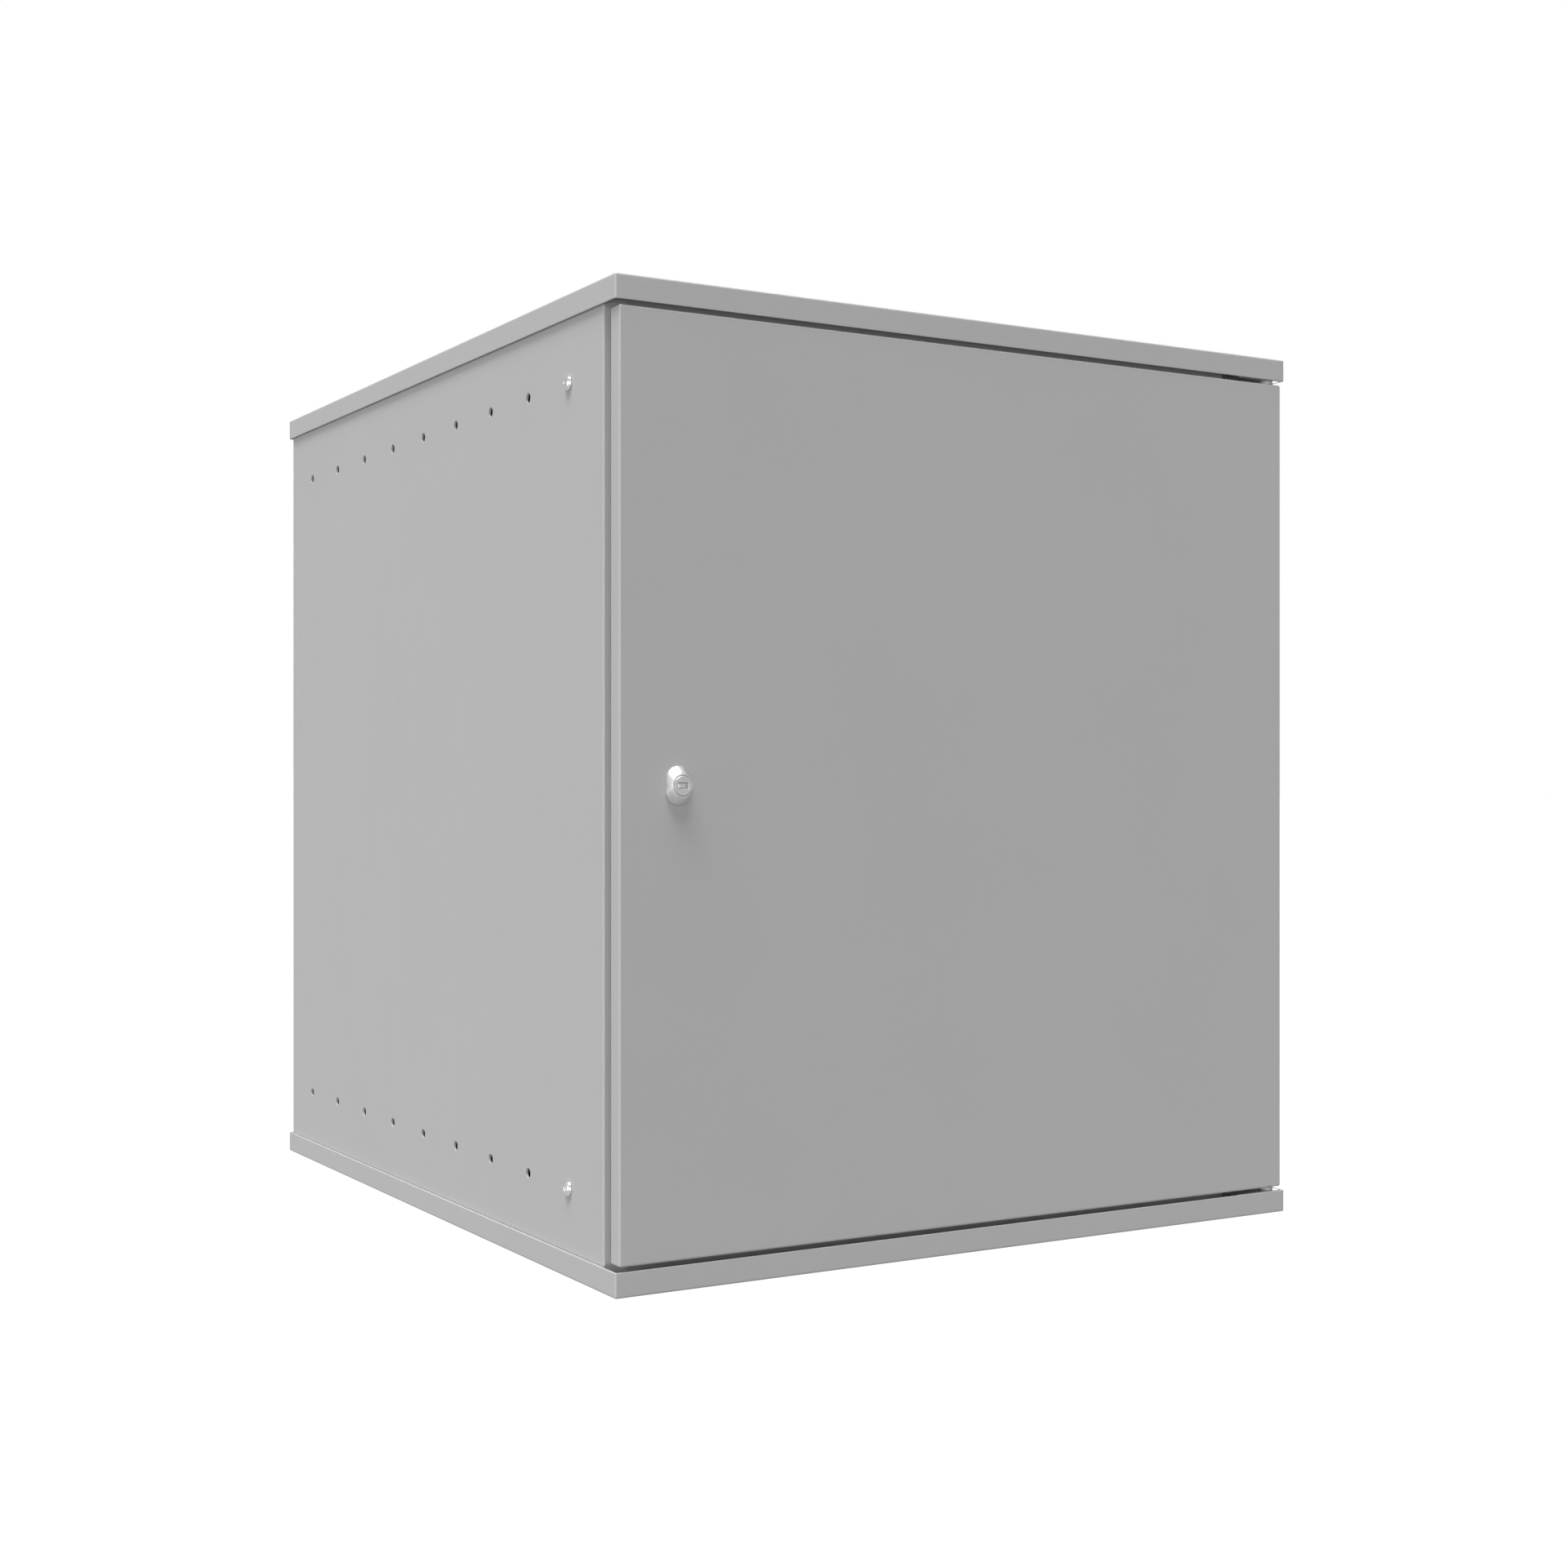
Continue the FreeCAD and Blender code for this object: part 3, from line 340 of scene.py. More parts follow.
def disc(radius):
    """Return the outline of a circle: its radius by angle."""
    return lambda angle: radius


def hexagon(flats):
    """Return the outline of a hexagon of a width across flats."""
    sixth = TURN / 6
    return lambda angle: flats / 2 / math.cos((angle + sixth / 2) % sixth - sixth / 2)


def rounded(width, height, corner):
    """Return the outline of a rectangle with round corners."""
    def outline(angle):
        across = max(abs(math.cos(angle)), 1e-6)
        up = max(abs(math.sin(angle)), 1e-6)
        straight = (width / 2 - corner, height / 2 - corner)
        side = width / 2 / across
        end = height / 2 / up
        if side * up <= straight[1]:
            return side
        if end * across <= straight[0]:
            return end
        along = across * straight[0] + up * straight[1]
        return along + math.sqrt(along ** 2 - straight[0] ** 2 - straight[1] ** 2 + corner ** 2)
    return outline


def trimmed(outline, limit):
    """Return an outline cut back to a circle."""
    return lambda angle: min(outline(angle), limit)


def between(first, second, share):
    """Return an outline part of the way from one to another."""
    return lambda angle: first(angle) * (1 - share) + second(angle) * share


def thread(radius, pitch, start, stop):
    """Return the layers of a screw thread, run out over its last turn."""
    depth = 0.6 * pitch
    rows = math.ceil(abs(stop - start) / pitch * 8)

    def crest(height):
        left = min(1, abs(stop - height) / pitch)
        def outline(angle):
            phase = (height / pitch - angle / TURN) % 1
            cut = min(1, max(0, 1.25 * (1 - abs(2 * phase - 1)) - 0.125))
            return min(radius - depth * cut, radius - depth * (1 - left))
        return outline

    heights = [start + (stop - start) * row / rows for row in range(rows + 1)]
    return [(height, crest(height)) for height in heights]


def skin(sections, loop=False):
    """Return the points and faces over equal rings of points; a loop comes back to its first ring."""
    count = len(sections[0])
    points = [point for section in sections for point in section]
    faces = []
    for row in range(len(sections) if loop else len(sections) - 1):
        first = row * count
        second = (row + 1) % len(sections) * count
        for step in range(count):
            after = (step + 1) % count
            faces.append((first + step, first + after, second + after, second + step))
    if not loop:
        faces.append(tuple(reversed(range(count))))
        faces.append(tuple(range(len(points) - count, len(points))))
    return points, faces


def stack(layers, ring=False, steps=48):
    """Return a shape from layers of a height and an outline. A ring's last layer meets its first."""
    sections = []
    for height, outline in layers:
        angles = [TURN * step / steps for step in range(steps)]
        sections.append([(outline(a) * math.cos(a), outline(a) * math.sin(a), height) for a in angles])
    return skin(sections, ring)


def turned(profile, ring=False, steps=48):
    """Return a turned shape from pairs of a height and a radius."""
    return stack([(height, disc(radius)) for height, radius in profile], ring, steps)


def fillet(corners, radii, steps=6):
    """Return points along straight runs in a plane, with an arc at each corner between them."""
    points = [Vector(corners[0])]
    for before, corner, after, radius in zip(corners, corners[1:], corners[2:], radii):
        here = Vector(corner)
        back = (Vector(before) - here).normalized()
        ahead = (Vector(after) - here).normalized()
        half = back.angle(ahead) / 2
        hub = here + (back + ahead).normalized() * radius / math.sin(half)
        first = here + back * radius / math.tan(half) - hub
        last = here + ahead * radius / math.tan(half) - hub
        turn = first.angle(last)
        for step in range(steps + 1):
            share = step / steps
            start_weight = math.sin(turn * (1 - share)) / math.sin(turn)
            end_weight = math.sin(turn * share) / math.sin(turn)
            points.append(hub + first * start_weight + last * end_weight)
    points.append(Vector(corners[-1]))
    return points


def add_object(name, data):
    """Link a new object into the scene."""
    item = bpy.data.objects.new(name, data)
    bpy.context.scene.collection.objects.link(item)
    return item


def make_piece(name, shapes, body, slot, *nodes, crease=35):
    """Make one object from pairs of a shape and its place, riding on a body and standing for CAD nodes."""
    points = []
    faces = []
    for (shape_points, shape_faces), place in shapes:
        start = len(points)
        points += [place @ Vector(point) for point in shape_points]
        faces += [[index + start for index in face] for face in shape_faces]
    mesh = bpy.data.meshes.new(name)
    mesh.from_pydata(points, [], faces)
    edited = bmesh.new()
    edited.from_mesh(mesh)
    bmesh.ops.recalc_face_normals(edited, faces=edited.faces)
    edited.to_mesh(mesh)
    edited.free()
    mesh.shade_smooth()
    mesh.set_sharp_from_angle(angle=math.radians(crease))
    mesh.materials.append(MATERIALS[slot])
    item = add_object(name, mesh)
    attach(item, body)
    if nodes:
        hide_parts(*nodes)
    return item


def stand_in(name, node, shape, direction, crease=35):
    """Put a detailed shape at each solid of a CAD node, in its place."""
    body = frame["nodes"][node]["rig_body"]
    shapes = [(shape, place) for place in stands(node, direction)]
    return make_piece(name, shapes, body, SLOTS[node], node, crease=crease)


# ---------------------------------------------------------------- screws, nuts, studs and washers

HEAD_HEIGHT = {"rail_screws": 2.75, "cam_screw": 2.75, "rear_panel_screws": 1.8}
SOCKET_KEY = 3.0
SOCKET_DEPTH = 1.45
SCREW_SHANK = 5.0
FINE_PITCH = 0.8
EARTH_PITCH = 1.0
NUT_FLATS = 8.0
FLANGE_HEIGHT = 1.2


def dome(radius, low, high, top_radius, steps=8):
    """Return the layers of a round dome, from its flat top down to its rim."""
    first = math.asin(top_radius / radius)
    layers = []
    for step in range(steps + 1):
        angle = first + (TURN / 4 - first) * step / steps
        rise = math.cos(angle) / math.cos(first)
        layers.append((low + (high - low) * rise, disc(radius * math.sin(angle))))
    return layers


def button_screw(length, head_width, head_height, shank_width, pitch):
    """Return a round-head screw with a hexagon socket, from the tip of its shank at 0 to its head."""
    seat = length - head_height
    radius = head_width / 2
    mouth = SOCKET_KEY * 0.62
    drilled = length - SOCKET_DEPTH
    socket = [
        (drilled - 0.3, disc(0.05)), (drilled, hexagon(SOCKET_KEY)), (length - 0.3, hexagon(SOCKET_KEY)),
        (length - 0.05, disc(mouth)),
    ]
    head = dome(radius, seat + 0.45, length, mouth + 0.35)
    rim = [(seat + 0.1, disc(radius)), (seat, disc(radius - 0.15)), (seat, disc(shank_width / 2 + 0.25))]
    shank = thread(shank_width / 2, pitch, seat - 0.25, 0)
    return stack(socket + head + rim + shank)


def hex_nut(flats, height, bore, flange=0, flange_height=0):
    """Return a hexagon nut with trimmed corners and a countersunk bore, on a round flange if it has one."""
    body = hexagon(flats)
    corner = flats * 0.567
    hole = bore / 2
    sunk = 0.09 * bore
    base = [(sunk, disc(hole)), (0, disc(hole + sunk))]
    if flange:
        rim = flange / 2
        base += [(0, disc(rim - 0.15)), (0.15, disc(rim)), (flange_height * 0.7, disc(rim)),
                 (flange_height, disc(rim - 0.25)), (flange_height * 1.2, trimmed(body, corner))]
    else:
        base += [(0, disc(flats * 0.47)), (0.06 * height, trimmed(body, flats * 0.52)),
                 (0.13 * height, trimmed(body, corner))]
    top = [(0.87 * height, trimmed(body, corner)), (0.94 * height, trimmed(body, flats * 0.52)),
           (height, disc(flats * 0.47)), (height, disc(hole + sunk)), (height - sunk, disc(hole))]
    return stack(base + top, ring=True)


def threaded_stud(length, width, pitch):
    """Return a threaded stud on a short plain collar, from its root at 0."""
    radius = width / 2
    return stack([(0, disc(radius)), (0.6, disc(radius))] + thread(radius, pitch, 0.7, length), steps=36)


def washer(width, thick, bore):
    """Return a plain washer with softened edges."""
    soft = 0.2
    outer = width / 2
    inner = bore / 2
    profile = [
        (soft, inner), (0, inner + soft), (0, outer - soft), (soft, outer),
        (thick - soft, outer), (thick, outer - soft), (thick, inner + soft), (thick - soft, inner),
    ]
    return turned(profile, ring=True)


def make_fasteners():
    """Give every screw, nut, stud and washer its threads, sockets and chamfers."""
    for node, direction in (("rail_screws", 2 * X), ("cam_screw", Y), ("rear_panel_screws", Y)):
        length = abs(Vector(direction).normalized().dot(size(node)))
        shape = button_screw(length, size(node).z, HEAD_HEIGHT[node], SCREW_SHANK, FINE_PITCH)
        stand_in(node + "_detailed", node, shape, direction)

    for node, direction in (("rail_nuts", -2 * X), ("rear_panel_nuts", -Y), ("top_cap_nuts", -Z),
                            ("bottom_cap_nuts", Z), ("gland_nuts", Z)):
        thick = min(size(node))
        shape = hex_nut(NUT_FLATS, thick, SCREW_SHANK, max(size(node)), FLANGE_HEIGHT)
        stand_in(node + "_detailed", node, shape, direction)

    for node, direction, pitch in (("top_cap_studs", -Z, FINE_PITCH), ("bottom_cap_studs", Z, FINE_PITCH),
                                   ("gland_studs", Z, FINE_PITCH), ("cabinet_earth_stud", Z, EARTH_PITCH),
                                   ("door_earth_stud", Y, EARTH_PITCH)):
        shape = threaded_stud(max(size(node)), min(size(node)), pitch)
        stand_in(node + "_detailed", node, shape, direction)

    for place, direction in (("cabinet", Z), ("door", Y)):
        stud = min(size(place + "_earth_stud"))
        node = place + "_earth_nut"
        thick, flats, _ = sorted(size(node))
        stand_in(node + "_detailed", node, hex_nut(flats, thick, stud), direction)
        node = place + "_earth_washer"
        plain = size(node)
        stand_in(node + "_detailed", node, washer(max(plain), min(plain), stud + 0.4), direction)

    plain = size("cam_washer")
    stand_in("cam_washer_detailed", "cam_washer", washer(max(plain), min(plain), SCREW_SHANK + 0.3), Y)


# ---------------------------------------------------------------- lock

BARREL = 16.0
BARREL_PITCH = 1.0
BARREL_UNDERCUT = 1.5
LOCK_NUT_FLATS = 20.0
LOCK_SHOULDER = 0.8
PLUG = 11.9
KEY_SLOT = (7.0, 3.6)
KEY_SLOT_DEPTH = 6.0
SHUTTER_DEPTH = 0.9
SHUTTER_THICK = 1.0
CAM_SQUARE = 7.0
CAM_SQUARE_LENGTH = 3.0


def make_lock_housing(seat, rise, reach, width, height):
    """Make the oval head, which slopes up to a round crown, on a threaded barrel through the door."""
    oval = rounded(width, height, width / 2 - 0.01)
    crown = disc(PLUG / 2 + 0.75)
    bore = PLUG / 2 + 0.1
    layers = [(-reach, disc(bore)), (rise - 0.25, disc(bore)), (rise, disc(bore + 0.2))]
    slopes = 12
    for step in range(slopes + 1):
        share = step / slopes
        fall = (rise - LOCK_SHOULDER) * share ** 1.25
        layers.append((rise - fall, between(crown, oval, share)))
    layers += [(0.25, oval), (0, between(crown, oval, 0.96)), (0, disc(BARREL / 2))]
    layers += thread(BARREL / 2, BARREL_PITCH, -BARREL_UNDERCUT, -reach)
    make_piece("lock_housing_detailed", [(stack(layers, ring=True, steps=96), seat)],
               "door", SLOTS["lock_housing"], "lock_housing", crease=40)


def make_lock_plug(seat, rise, reach):
    """Make the plug, with a key slot, a shutter just inside the slot and a square behind for the cam."""
    radius = PLUG / 2
    slot = rounded(*KEY_SLOT, 0.45)
    mouth = rounded(*(side + 0.5 for side in KEY_SLOT), 0.7)
    square = rounded(CAM_SQUARE, CAM_SQUARE, 0.3)
    square_tip = rounded(CAM_SQUARE - 0.4, CAM_SQUARE - 0.4, 0.3)
    neck = CAM_SQUARE_LENGTH - reach
    layers = [
        (rise - KEY_SLOT_DEPTH, slot), (rise - 0.25, slot), (rise, mouth),
        (rise, disc(radius - 0.3)), (rise - 0.3, disc(radius)), (neck, disc(radius)),
        (neck, square), (0.2 - reach, square), (-reach, square_tip),
    ]
    shut = rise - SHUTTER_DEPTH
    flap = rounded(*(side - 0.1 for side in KEY_SLOT), 0.4)
    flap_face = rounded(*(side - 0.6 for side in KEY_SLOT), 0.3)
    notch = rounded(1.0, 2.2, 0.3)
    notch_floor = rounded(0.7, 1.9, 0.3)
    shutter = [
        (shut - SHUTTER_THICK, flap), (shut - 0.2, flap), (shut, flap_face),
        (shut, notch), (shut - 0.35, notch_floor),
    ]
    make_piece("lock_plug_detailed", [(stack(layers, steps=120), seat), (stack(shutter, steps=120), seat)],
               "lock", SLOTS["lock_plug"], "lock_plug", crease=40)


def make_lock():
    """Make the lock's housing, plug and nut, measured from the door's outer face."""
    door_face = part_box("door_panel")[0].y
    head_low, head_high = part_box("lock_housing")
    plug_low, plug_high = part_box("lock_plug")
    middle = (plug_low + plug_high) / 2
    seat = facing(Vector((middle.x, door_face, middle.z)), -Y)
    make_lock_housing(seat, (door_face - head_low.y) / MM, (head_high.y - door_face) / MM,
                      (head_high.x - head_low.x) / MM, (head_high.z - head_low.z) / MM)
    make_lock_plug(seat, (door_face - plug_low.y) / MM, (plug_high.y - door_face) / MM)
    nut = hex_nut(LOCK_NUT_FLATS, size("lock_nut").y, BARREL)
    stand_in("lock_nut_detailed", "lock_nut", nut, Y)


# ---------------------------------------------------------------- hinge parts

PIN = 5.0
BUSH = 7.0
BUSH_FLANGE = 2.5
KNOB_HEIGHT = 6.0
KNURLS = 24
KNURL_DEPTH = 0.3
KNURL_LEAN = 2.4  # radians per millimetre
CLIP_GROOVE = 0.45
CLIP_BORE = 5.5
CLIP_LOBE = 0.65
CLIP_OPENING = 70  # degrees
CLIP_TURN = 120  # degrees
SPRING_WIRE = 0.8
SPRING_TURNS = 9.3
CLOSED_TURNS = 1.0


def make_hinge_bushes():
    """Make the two flanged nylon bushes, with rounded edges."""
    for node, direction in (("upper_hinge_bush", Z), ("lower_hinge_bush", -Z)):
        length = size(node).z
        rim = size(node).x / 2
        sleeve = BUSH / 2
        bore = PIN / 2 + 0.05
        profile = [
            (0.3, bore), (0, bore + 0.3), (0, rim - 0.4), (0.12, rim - 0.12), (0.4, rim),
            (BUSH_FLANGE - 0.4, rim), (BUSH_FLANGE - 0.12, rim - 0.12), (BUSH_FLANGE, rim - 0.4),
            (BUSH_FLANGE, sleeve), (length - 0.4, sleeve), (length, sleeve - 0.3),
            (length, bore + 0.3), (length - 0.3, bore),
        ]
        stand_in(node + "_detailed", node, turned(profile, ring=True), direction)


def make_hinge_pins():
    """Make the fixed lower pin and the sprung upper pin with its knurled knob and clip groove."""
    radius = PIN / 2
    length = size("lower_hinge_pin").z
    profile = [
        (0, 1.0), (0, radius - 0.5), (0.5, radius),
        (length - 0.2, radius), (length, radius - 0.2), (length, 1.0),
    ]
    stand_in("lower_hinge_pin_detailed", "lower_hinge_pin", turned(profile), Z)

    low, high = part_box("upper_hinge_pin")
    clip_low, clip_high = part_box("hinge_pin_clip")
    knob = (high.x - low.x) / 2 / MM
    length = (high.z - low.z) / MM
    groove_low = (clip_low.z - low.z) / MM
    groove_high = (clip_high.z - low.z) / MM

    def knurled(height):
        def outline(angle):
            lean = KNURL_LEAN * height
            ridges = (math.sin(KNURLS / 2 * angle + lean), math.sin(KNURLS / 2 * angle - lean))
            return knob - KNURL_DEPTH * max(abs(ridge) for ridge in ridges) ** 3
        return outline

    layers = [(0, disc(knob - 1.0)), (0.5, disc(knob - 0.35))]
    rows = 24
    for row in range(rows + 1):
        height = 0.8 + (KNOB_HEIGHT - 1.6) * row / rows
        layers.append((height, knurled(height)))
    shank = disc(radius)
    waist = disc(radius - CLIP_GROOVE)
    layers += [
        (KNOB_HEIGHT - 0.5, disc(knob - 0.35)), (KNOB_HEIGHT, disc(knob - 1.0)), (KNOB_HEIGHT, shank),
        (groove_low, shank), (groove_low, waist), (groove_high, waist), (groove_high, shank),
        (length - 0.8, shank), (length, disc(radius - 0.8)),
    ]
    make_piece("upper_hinge_pin_detailed", [(stack(layers, steps=96), facing(Vector((*HINGE, low.z)), Z))],
               "hinge_pin", SLOTS["upper_hinge_pin"], "upper_hinge_pin")


def make_clip():
    """Make the E-shaped clip that sits in the pin's groove, open on one side."""
    low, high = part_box("hinge_pin_clip")
    outer = (high.x - low.x) / 2 / MM
    thick = (high.z - low.z) / MM
    opening = math.radians(CLIP_OPENING)
    soft = 0.12
    steps = 72
    sections = []
    for step in range(steps + 1):
        angle = opening / 2 + (TURN - opening) * step / steps
        lobe = abs(math.cos(1.5 * (angle - math.pi))) ** 6
        inner = CLIP_BORE / 2 - CLIP_LOBE * lobe
        ray = Vector((math.cos(angle), math.sin(angle), 0))
        profile = ((inner, soft), (inner + soft, 0), (outer - soft, 0), (outer, soft), (outer, thick - soft),
                   (outer - soft, thick), (inner + soft, thick), (inner, thick - soft))
        sections.append([ray * radius + Z * height for radius, height in profile])
    place = facing(Vector((*HINGE, low.z)), Z, turn=math.radians(CLIP_TURN))
    make_piece("hinge_pin_clip_detailed", [(skin(sections), place)],
               "hinge_pin", SLOTS["hinge_pin_clip"], "hinge_pin_clip")


def make_spring():
    """Wind the hinge spring from round wire with closed ends, on a mesh of its own."""
    low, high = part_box("hinge_pin_spring")
    radius = SPRING_WIRE / 2
    coil = (high.x - low.x) / 2 / MM - radius
    climb = (high.z - low.z) / MM - SPRING_WIRE
    closed = CLOSED_TURNS * SPRING_WIRE
    pitch = (climb - 2 * closed) / (SPRING_TURNS - 2 * CLOSED_TURNS)
    steps = 28
    sides = 12
    sections = []
    for step in range(int(SPRING_TURNS * steps) + 1):
        lap = step / steps
        if lap < CLOSED_TURNS:
            rise = SPRING_WIRE * lap
        elif lap > SPRING_TURNS - CLOSED_TURNS:
            rise = climb - SPRING_WIRE * (SPRING_TURNS - lap)
        else:
            rise = closed + pitch * (lap - CLOSED_TURNS)
        angle = TURN * lap
        ray = Vector((math.cos(angle), math.sin(angle), 0))
        hub = ray * coil + Z * (radius + rise)
        ring = [TURN * side / sides for side in range(sides)]
        sections.append([hub + (ray * math.cos(a) + Z * math.sin(a)) * radius for a in ring])
    item = make_piece("hinge_pin_spring_detailed", [(skin(sections), facing(Vector((*HINGE, low.z)), Z))],
                      "door", SLOTS["hinge_pin_spring"], "hinge_pin_spring", crease=50)
    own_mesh(item)


# ---------------------------------------------------------------- seals and stiffener

GASKET_WIDTH = 10.0
GASKET_CORNER = 14
GLAND_SEAL_WIDTH = 18.0
LIP_MARK = 0.6
STIFFENER_GAUGE = 1.5
STIFFENER_BEND = 2.2
STIFFENER_CROWN = 60.0
WELD_PITCH = 47.0
WALL_BAR_WELDS = 8


def seal_path(low, high, inset, corner, spacing):
    """Return points round a rectangle with round corners, in millimetres, with outward directions."""
    left, bottom = low[0] + inset, low[1] + inset
    right, top = high[0] - inset, high[1] - inset
    start = ((left + right) / 2, bottom)
    corners = [start, (right, bottom), (right, top), (left, top), (left, bottom), start]
    bent = fillet(corners, [corner] * 4, 8)
    points = []
    for first, last in zip(bent, bent[1:]):
        pieces = max(1, math.ceil((last - first).length / spacing))
        points += [first.lerp(last, piece / pieces) for piece in range(pieces)]
    count = len(points)
    path = []
    for index, point in enumerate(points):
        along = (points[(index + 1) % count] - points[index - 1]).normalized()
        path.append((point, Vector((along.y, -along.x))))
    return path


def make_gasket():
    """Make the door's foam seal: a crowned bead in a loop, with the mark of the frame's lip and one joint."""
    low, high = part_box("door_gasket")
    half = GASKET_WIDTH / 2
    thick = (high.y - low.y) / MM
    path = seal_path(low.xz / MM, high.xz / MM, half, GASKET_CORNER, 9)
    sections = []
    for index, (point, outward) in enumerate(path):
        wander = 0.12 * math.sin(index * 0.9) + 0.08 * math.sin(index * 2.3)
        joint = 0.6 if index == 0 else 0
        section = []
        for step in range(25):
            angle = math.pi * step / 24
            across = math.cos(angle)
            bead = math.copysign(abs(across) ** 0.8, across) * (half - 0.2 + wander)
            rise = (thick - 0.15 - joint) * math.sin(angle) ** 0.62
            rise -= LIP_MARK * math.exp(-(bead / 0.9) ** 2)
            flat = point + outward * bead
            section.append((flat.x, rise, flat.y))
        sections.append(section)
    place = Matrix.Translation((0, low.y, 0)) @ Matrix.Scale(MM, 4)
    item = make_piece("door_gasket_bead", [(skin(sections, loop=True), place)],
                      "door", SLOTS["door_gasket"], "door_gasket", crease=60)


def make_gland_seal():
    """Make the flat foam seal under the gland plate, squeezed so that its edges bulge."""
    low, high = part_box("gland_seal")
    thick = (high.z - low.z) / MM
    half = GLAND_SEAL_WIDTH / 2
    path = seal_path(low.xy / MM, high.xy / MM, half, half, 12)
    sections = []
    for index, (point, outward) in enumerate(path):
        bulge = 0.25 + 0.1 * math.sin(index * 1.7)
        section = []
        for side in (1, -1):
            for step in range(7):
                angle = TURN / 4 * (step / 3 - 1)
                reach = half - 0.5 + bulge * math.cos(angle)
                rise = thick / 2 * (1 + side * math.sin(angle))
                flat = point + outward * side * reach
                section.append((flat.x, flat.y, rise))
        sections.append(section)
    place = Matrix.Translation((0, 0, low.z)) @ Matrix.Scale(MM, 4)
    item = make_piece("gland_seal_squeezed", [(skin(sections, loop=True), place)],
                      "cabinet", SLOTS["gland_seal"], "gland_seal", crease=60)


def weld_spot():
    """Return the dished mark of a spot weld on sheet."""
    return turned([(-0.2, 3.1), (0, 3.1), (0.14, 2.75), (0.16, 2.4), (0.05, 1.7), (0.03, 0.1)])


def make_stiffener():
    """Fold the door's hat-shaped stiffener from sheet and mark its spot welds."""
    low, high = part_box("door_stiffener")
    half = (high.x - low.x) / 2 / MM
    depth = (high.y - low.y) / MM
    crown = STIFFENER_CROWN / 2
    gauge = STIFFENER_GAUGE
    hollow = crown - gauge
    ceiling = depth - gauge
    outside = [
        (-half, gauge), (-crown, gauge), (-crown, depth), (crown, depth), (crown, gauge), (half, gauge),
    ]
    inside = [
        (half, 0), (hollow, 0), (hollow, ceiling), (-hollow, ceiling), (-hollow, 0), (-half, 0),
    ]
    wide = STIFFENER_BEND
    tight = STIFFENER_BEND - gauge
    outline = fillet(outside, (tight, wide, wide, tight)) + fillet(inside, (wide, tight, tight, wide))
    ends = (low.z / MM, high.z / MM)
    sections = [[(point.x, point.y, height) for point in outline] for height in ends]
    place = Matrix.Translation((0, low.y, 0)) @ Matrix.Scale(MM, 4)
    make_piece("door_stiffener_folded", [(skin(sections), place)], "door", SLOTS["door_stiffener"],
               "door_stiffener", crease=25)

    marks = []
    middle = (high.z + low.z) / 2
    count = int((ends[1] - ends[0]) / 2 / WELD_PITCH)
    for side in (-1, 1):
        across = side * (half + crown) / 2 * MM
        for row in range(-count, count + 1):
            spot = Vector((across, low.y + gauge * MM, middle + row * WELD_PITCH * MM))
            marks.append((weld_spot(), facing(spot, Y)))
    make_piece("door_stiffener_welds", marks, "door", SLOTS["door_stiffener"])


def make_wall_bar_welds():
    """Mark the spot welds that hold the wall bars to the rear panel."""
    for node in ("upper_wall_bar", "lower_wall_bar"):
        low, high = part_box(node)
        marks = []
        for index in range(WALL_BAR_WELDS):
            across = low.x + (high.x - low.x) * (index + 0.5) / WALL_BAR_WELDS
            for share in (0.22, 0.78):
                spot = Vector((across, low.y, low.z + (high.z - low.z) * share))
                marks.append((weld_spot(), facing(spot, -Y)))
        make_piece(node + "_welds", marks, "cabinet", SLOTS[node])


make_fasteners()
make_lock()
make_hinge_bushes()
make_hinge_pins()
make_clip()
make_spring()
make_gasket()
make_gland_seal()
make_stiffener()
make_wall_bar_welds()


# ---------------------------------------------------------------- stage, light and camera

SURROUND = 0.19  # strength of the white surround as a light
REFLECTED = 0.7  # its strength in reflections
FLOOR_REACH = 40  # metres
FLOOR_GLOW = 0.95
CAMERA_PLACE = (-0.8290, -1.4353)  # metres
CAMERA_TURN = 30.05  # degrees
CAMERA_LENS = 49.80
CAMERA_SENSOR = 36
CAMERA_SHIFT = (0.0218, 0.0011)
LIGHTS = (
    # name, strength, spread, angle to the left of the front, height above level (degrees)
    ("front_low", 0.87, 14, 27, -10),
    ("front_raised", 0.58, 14, 27, 10),
    ("left", 0.80, 30, 90, 0),
    ("high_front", 2.64, 30, 30, 76),
    ("high_left", 2.75, 24, 90, 70),
    ("back_right", 1.6, 40, -135, 0),
)


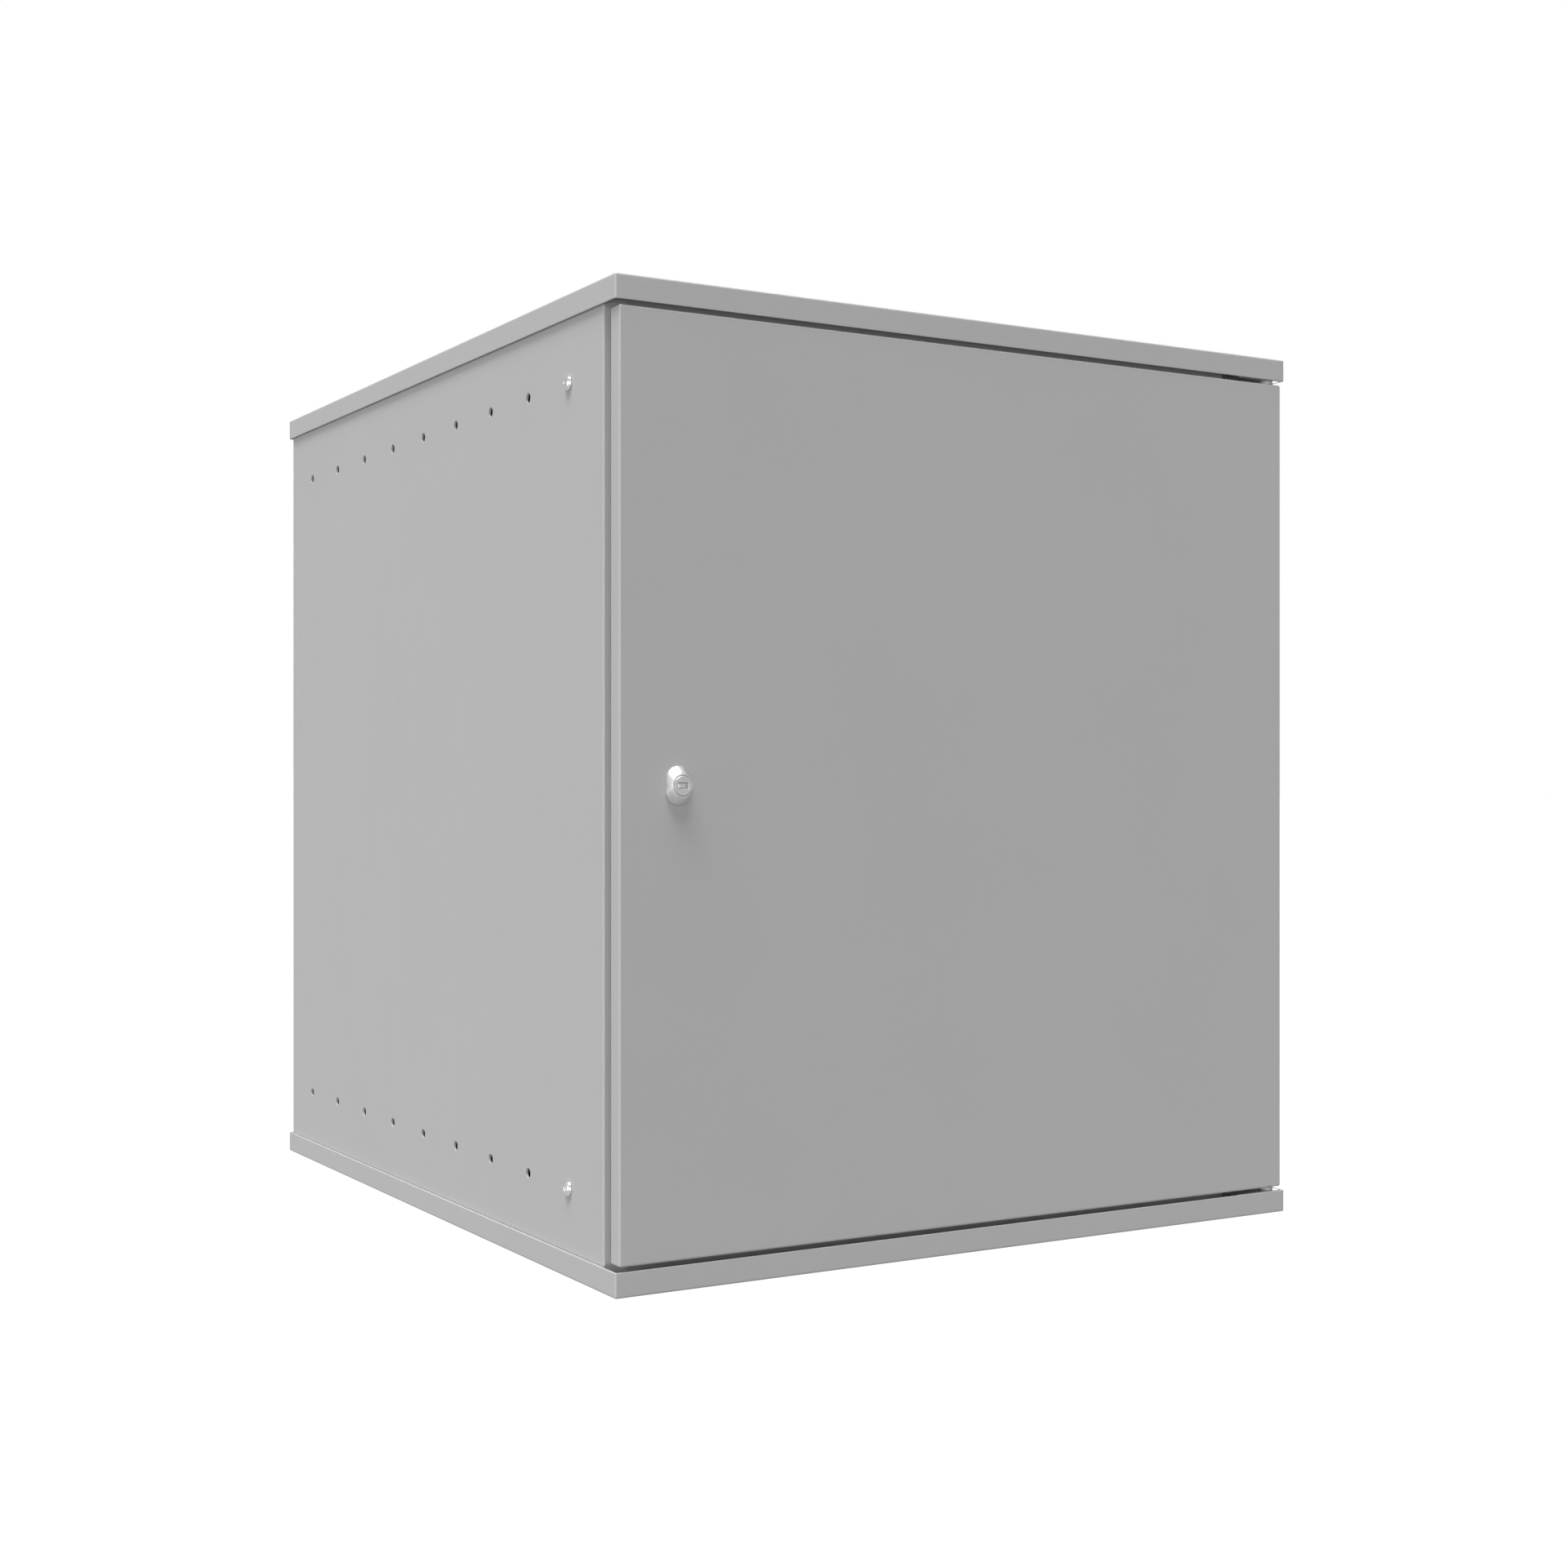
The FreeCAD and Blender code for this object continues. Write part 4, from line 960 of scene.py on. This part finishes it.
def make_stage():
    """Lay a plain white floor under the cabinet, which glows evenly and casts no light on it."""
    mesh = bpy.data.meshes.new("floor")
    corners = [(-FLOOR_REACH, -FLOOR_REACH, 0), (FLOOR_REACH, -FLOOR_REACH, 0),
               (FLOOR_REACH, FLOOR_REACH, 0), (-FLOOR_REACH, FLOOR_REACH, 0)]
    mesh.from_pydata(corners, [], [(0, 1, 2, 3)])
    floor = add_object("floor", mesh)
    material, _, shader, _ = new_material("white_floor")
    shader.inputs["Base Color"].default_value = (0.06, 0.06, 0.06, 1)
    shader.inputs["Roughness"].default_value = 0.9
    shader.inputs["Specular IOR Level"].default_value = 0.1
    shader.inputs["Emission Color"].default_value = (1, 1, 1, 1)
    shader.inputs["Emission Strength"].default_value = FLOOR_GLOW
    mesh.materials.append(material)
    floor.visible_diffuse = False
    floor.visible_glossy = False
    floor.visible_shadow = False


def make_light():
    """Light the cabinet from broad soft lights in a white surround, which looks brighter in reflections."""
    world = bpy.data.worlds.new("studio")
    bpy.context.scene.world = world
    world.use_nodes = True
    tree = world.node_tree
    background = tree.nodes["Background"]
    background.inputs["Color"].default_value = (1, 1, 1, 1)
    path = tree.nodes.new("ShaderNodeLightPath")
    reflected = remap(tree, path.outputs["Is Glossy Ray"], SURROUND, REFLECTED, 0, 1)
    seen = combine(tree, "MAXIMUM", path.outputs["Is Camera Ray"], reflected)
    tree.links.new(seen, background.inputs["Strength"])

    for name, strength, spread, left, height in LIGHTS:
        data = bpy.data.lights.new(name, "SUN")
        data.energy = strength
        data.angle = math.radians(spread)
        add_object(name, data).rotation_euler = (math.radians(90 - height), 0, -math.radians(left))


def make_camera():
    """Set the camera level with the cabinet's middle, to the left of its front."""
    data = bpy.data.cameras.new("camera")
    data.lens = CAMERA_LENS
    data.sensor_width = CAMERA_SENSOR
    data.shift_x, data.shift_y = CAMERA_SHIFT
    middle = (cad_box[0][2] + cad_box[1][2]) / 2
    camera = add_object("camera", data)
    camera.location = (*CAMERA_PLACE, middle)
    camera.rotation_euler = (math.radians(90), 0, -math.radians(CAMERA_TURN))
    bpy.context.scene.camera = camera


make_stage()
make_light()
make_camera()
bpy.context.scene.view_settings.view_transform = "Standard"

bpy.context.view_layer.update()
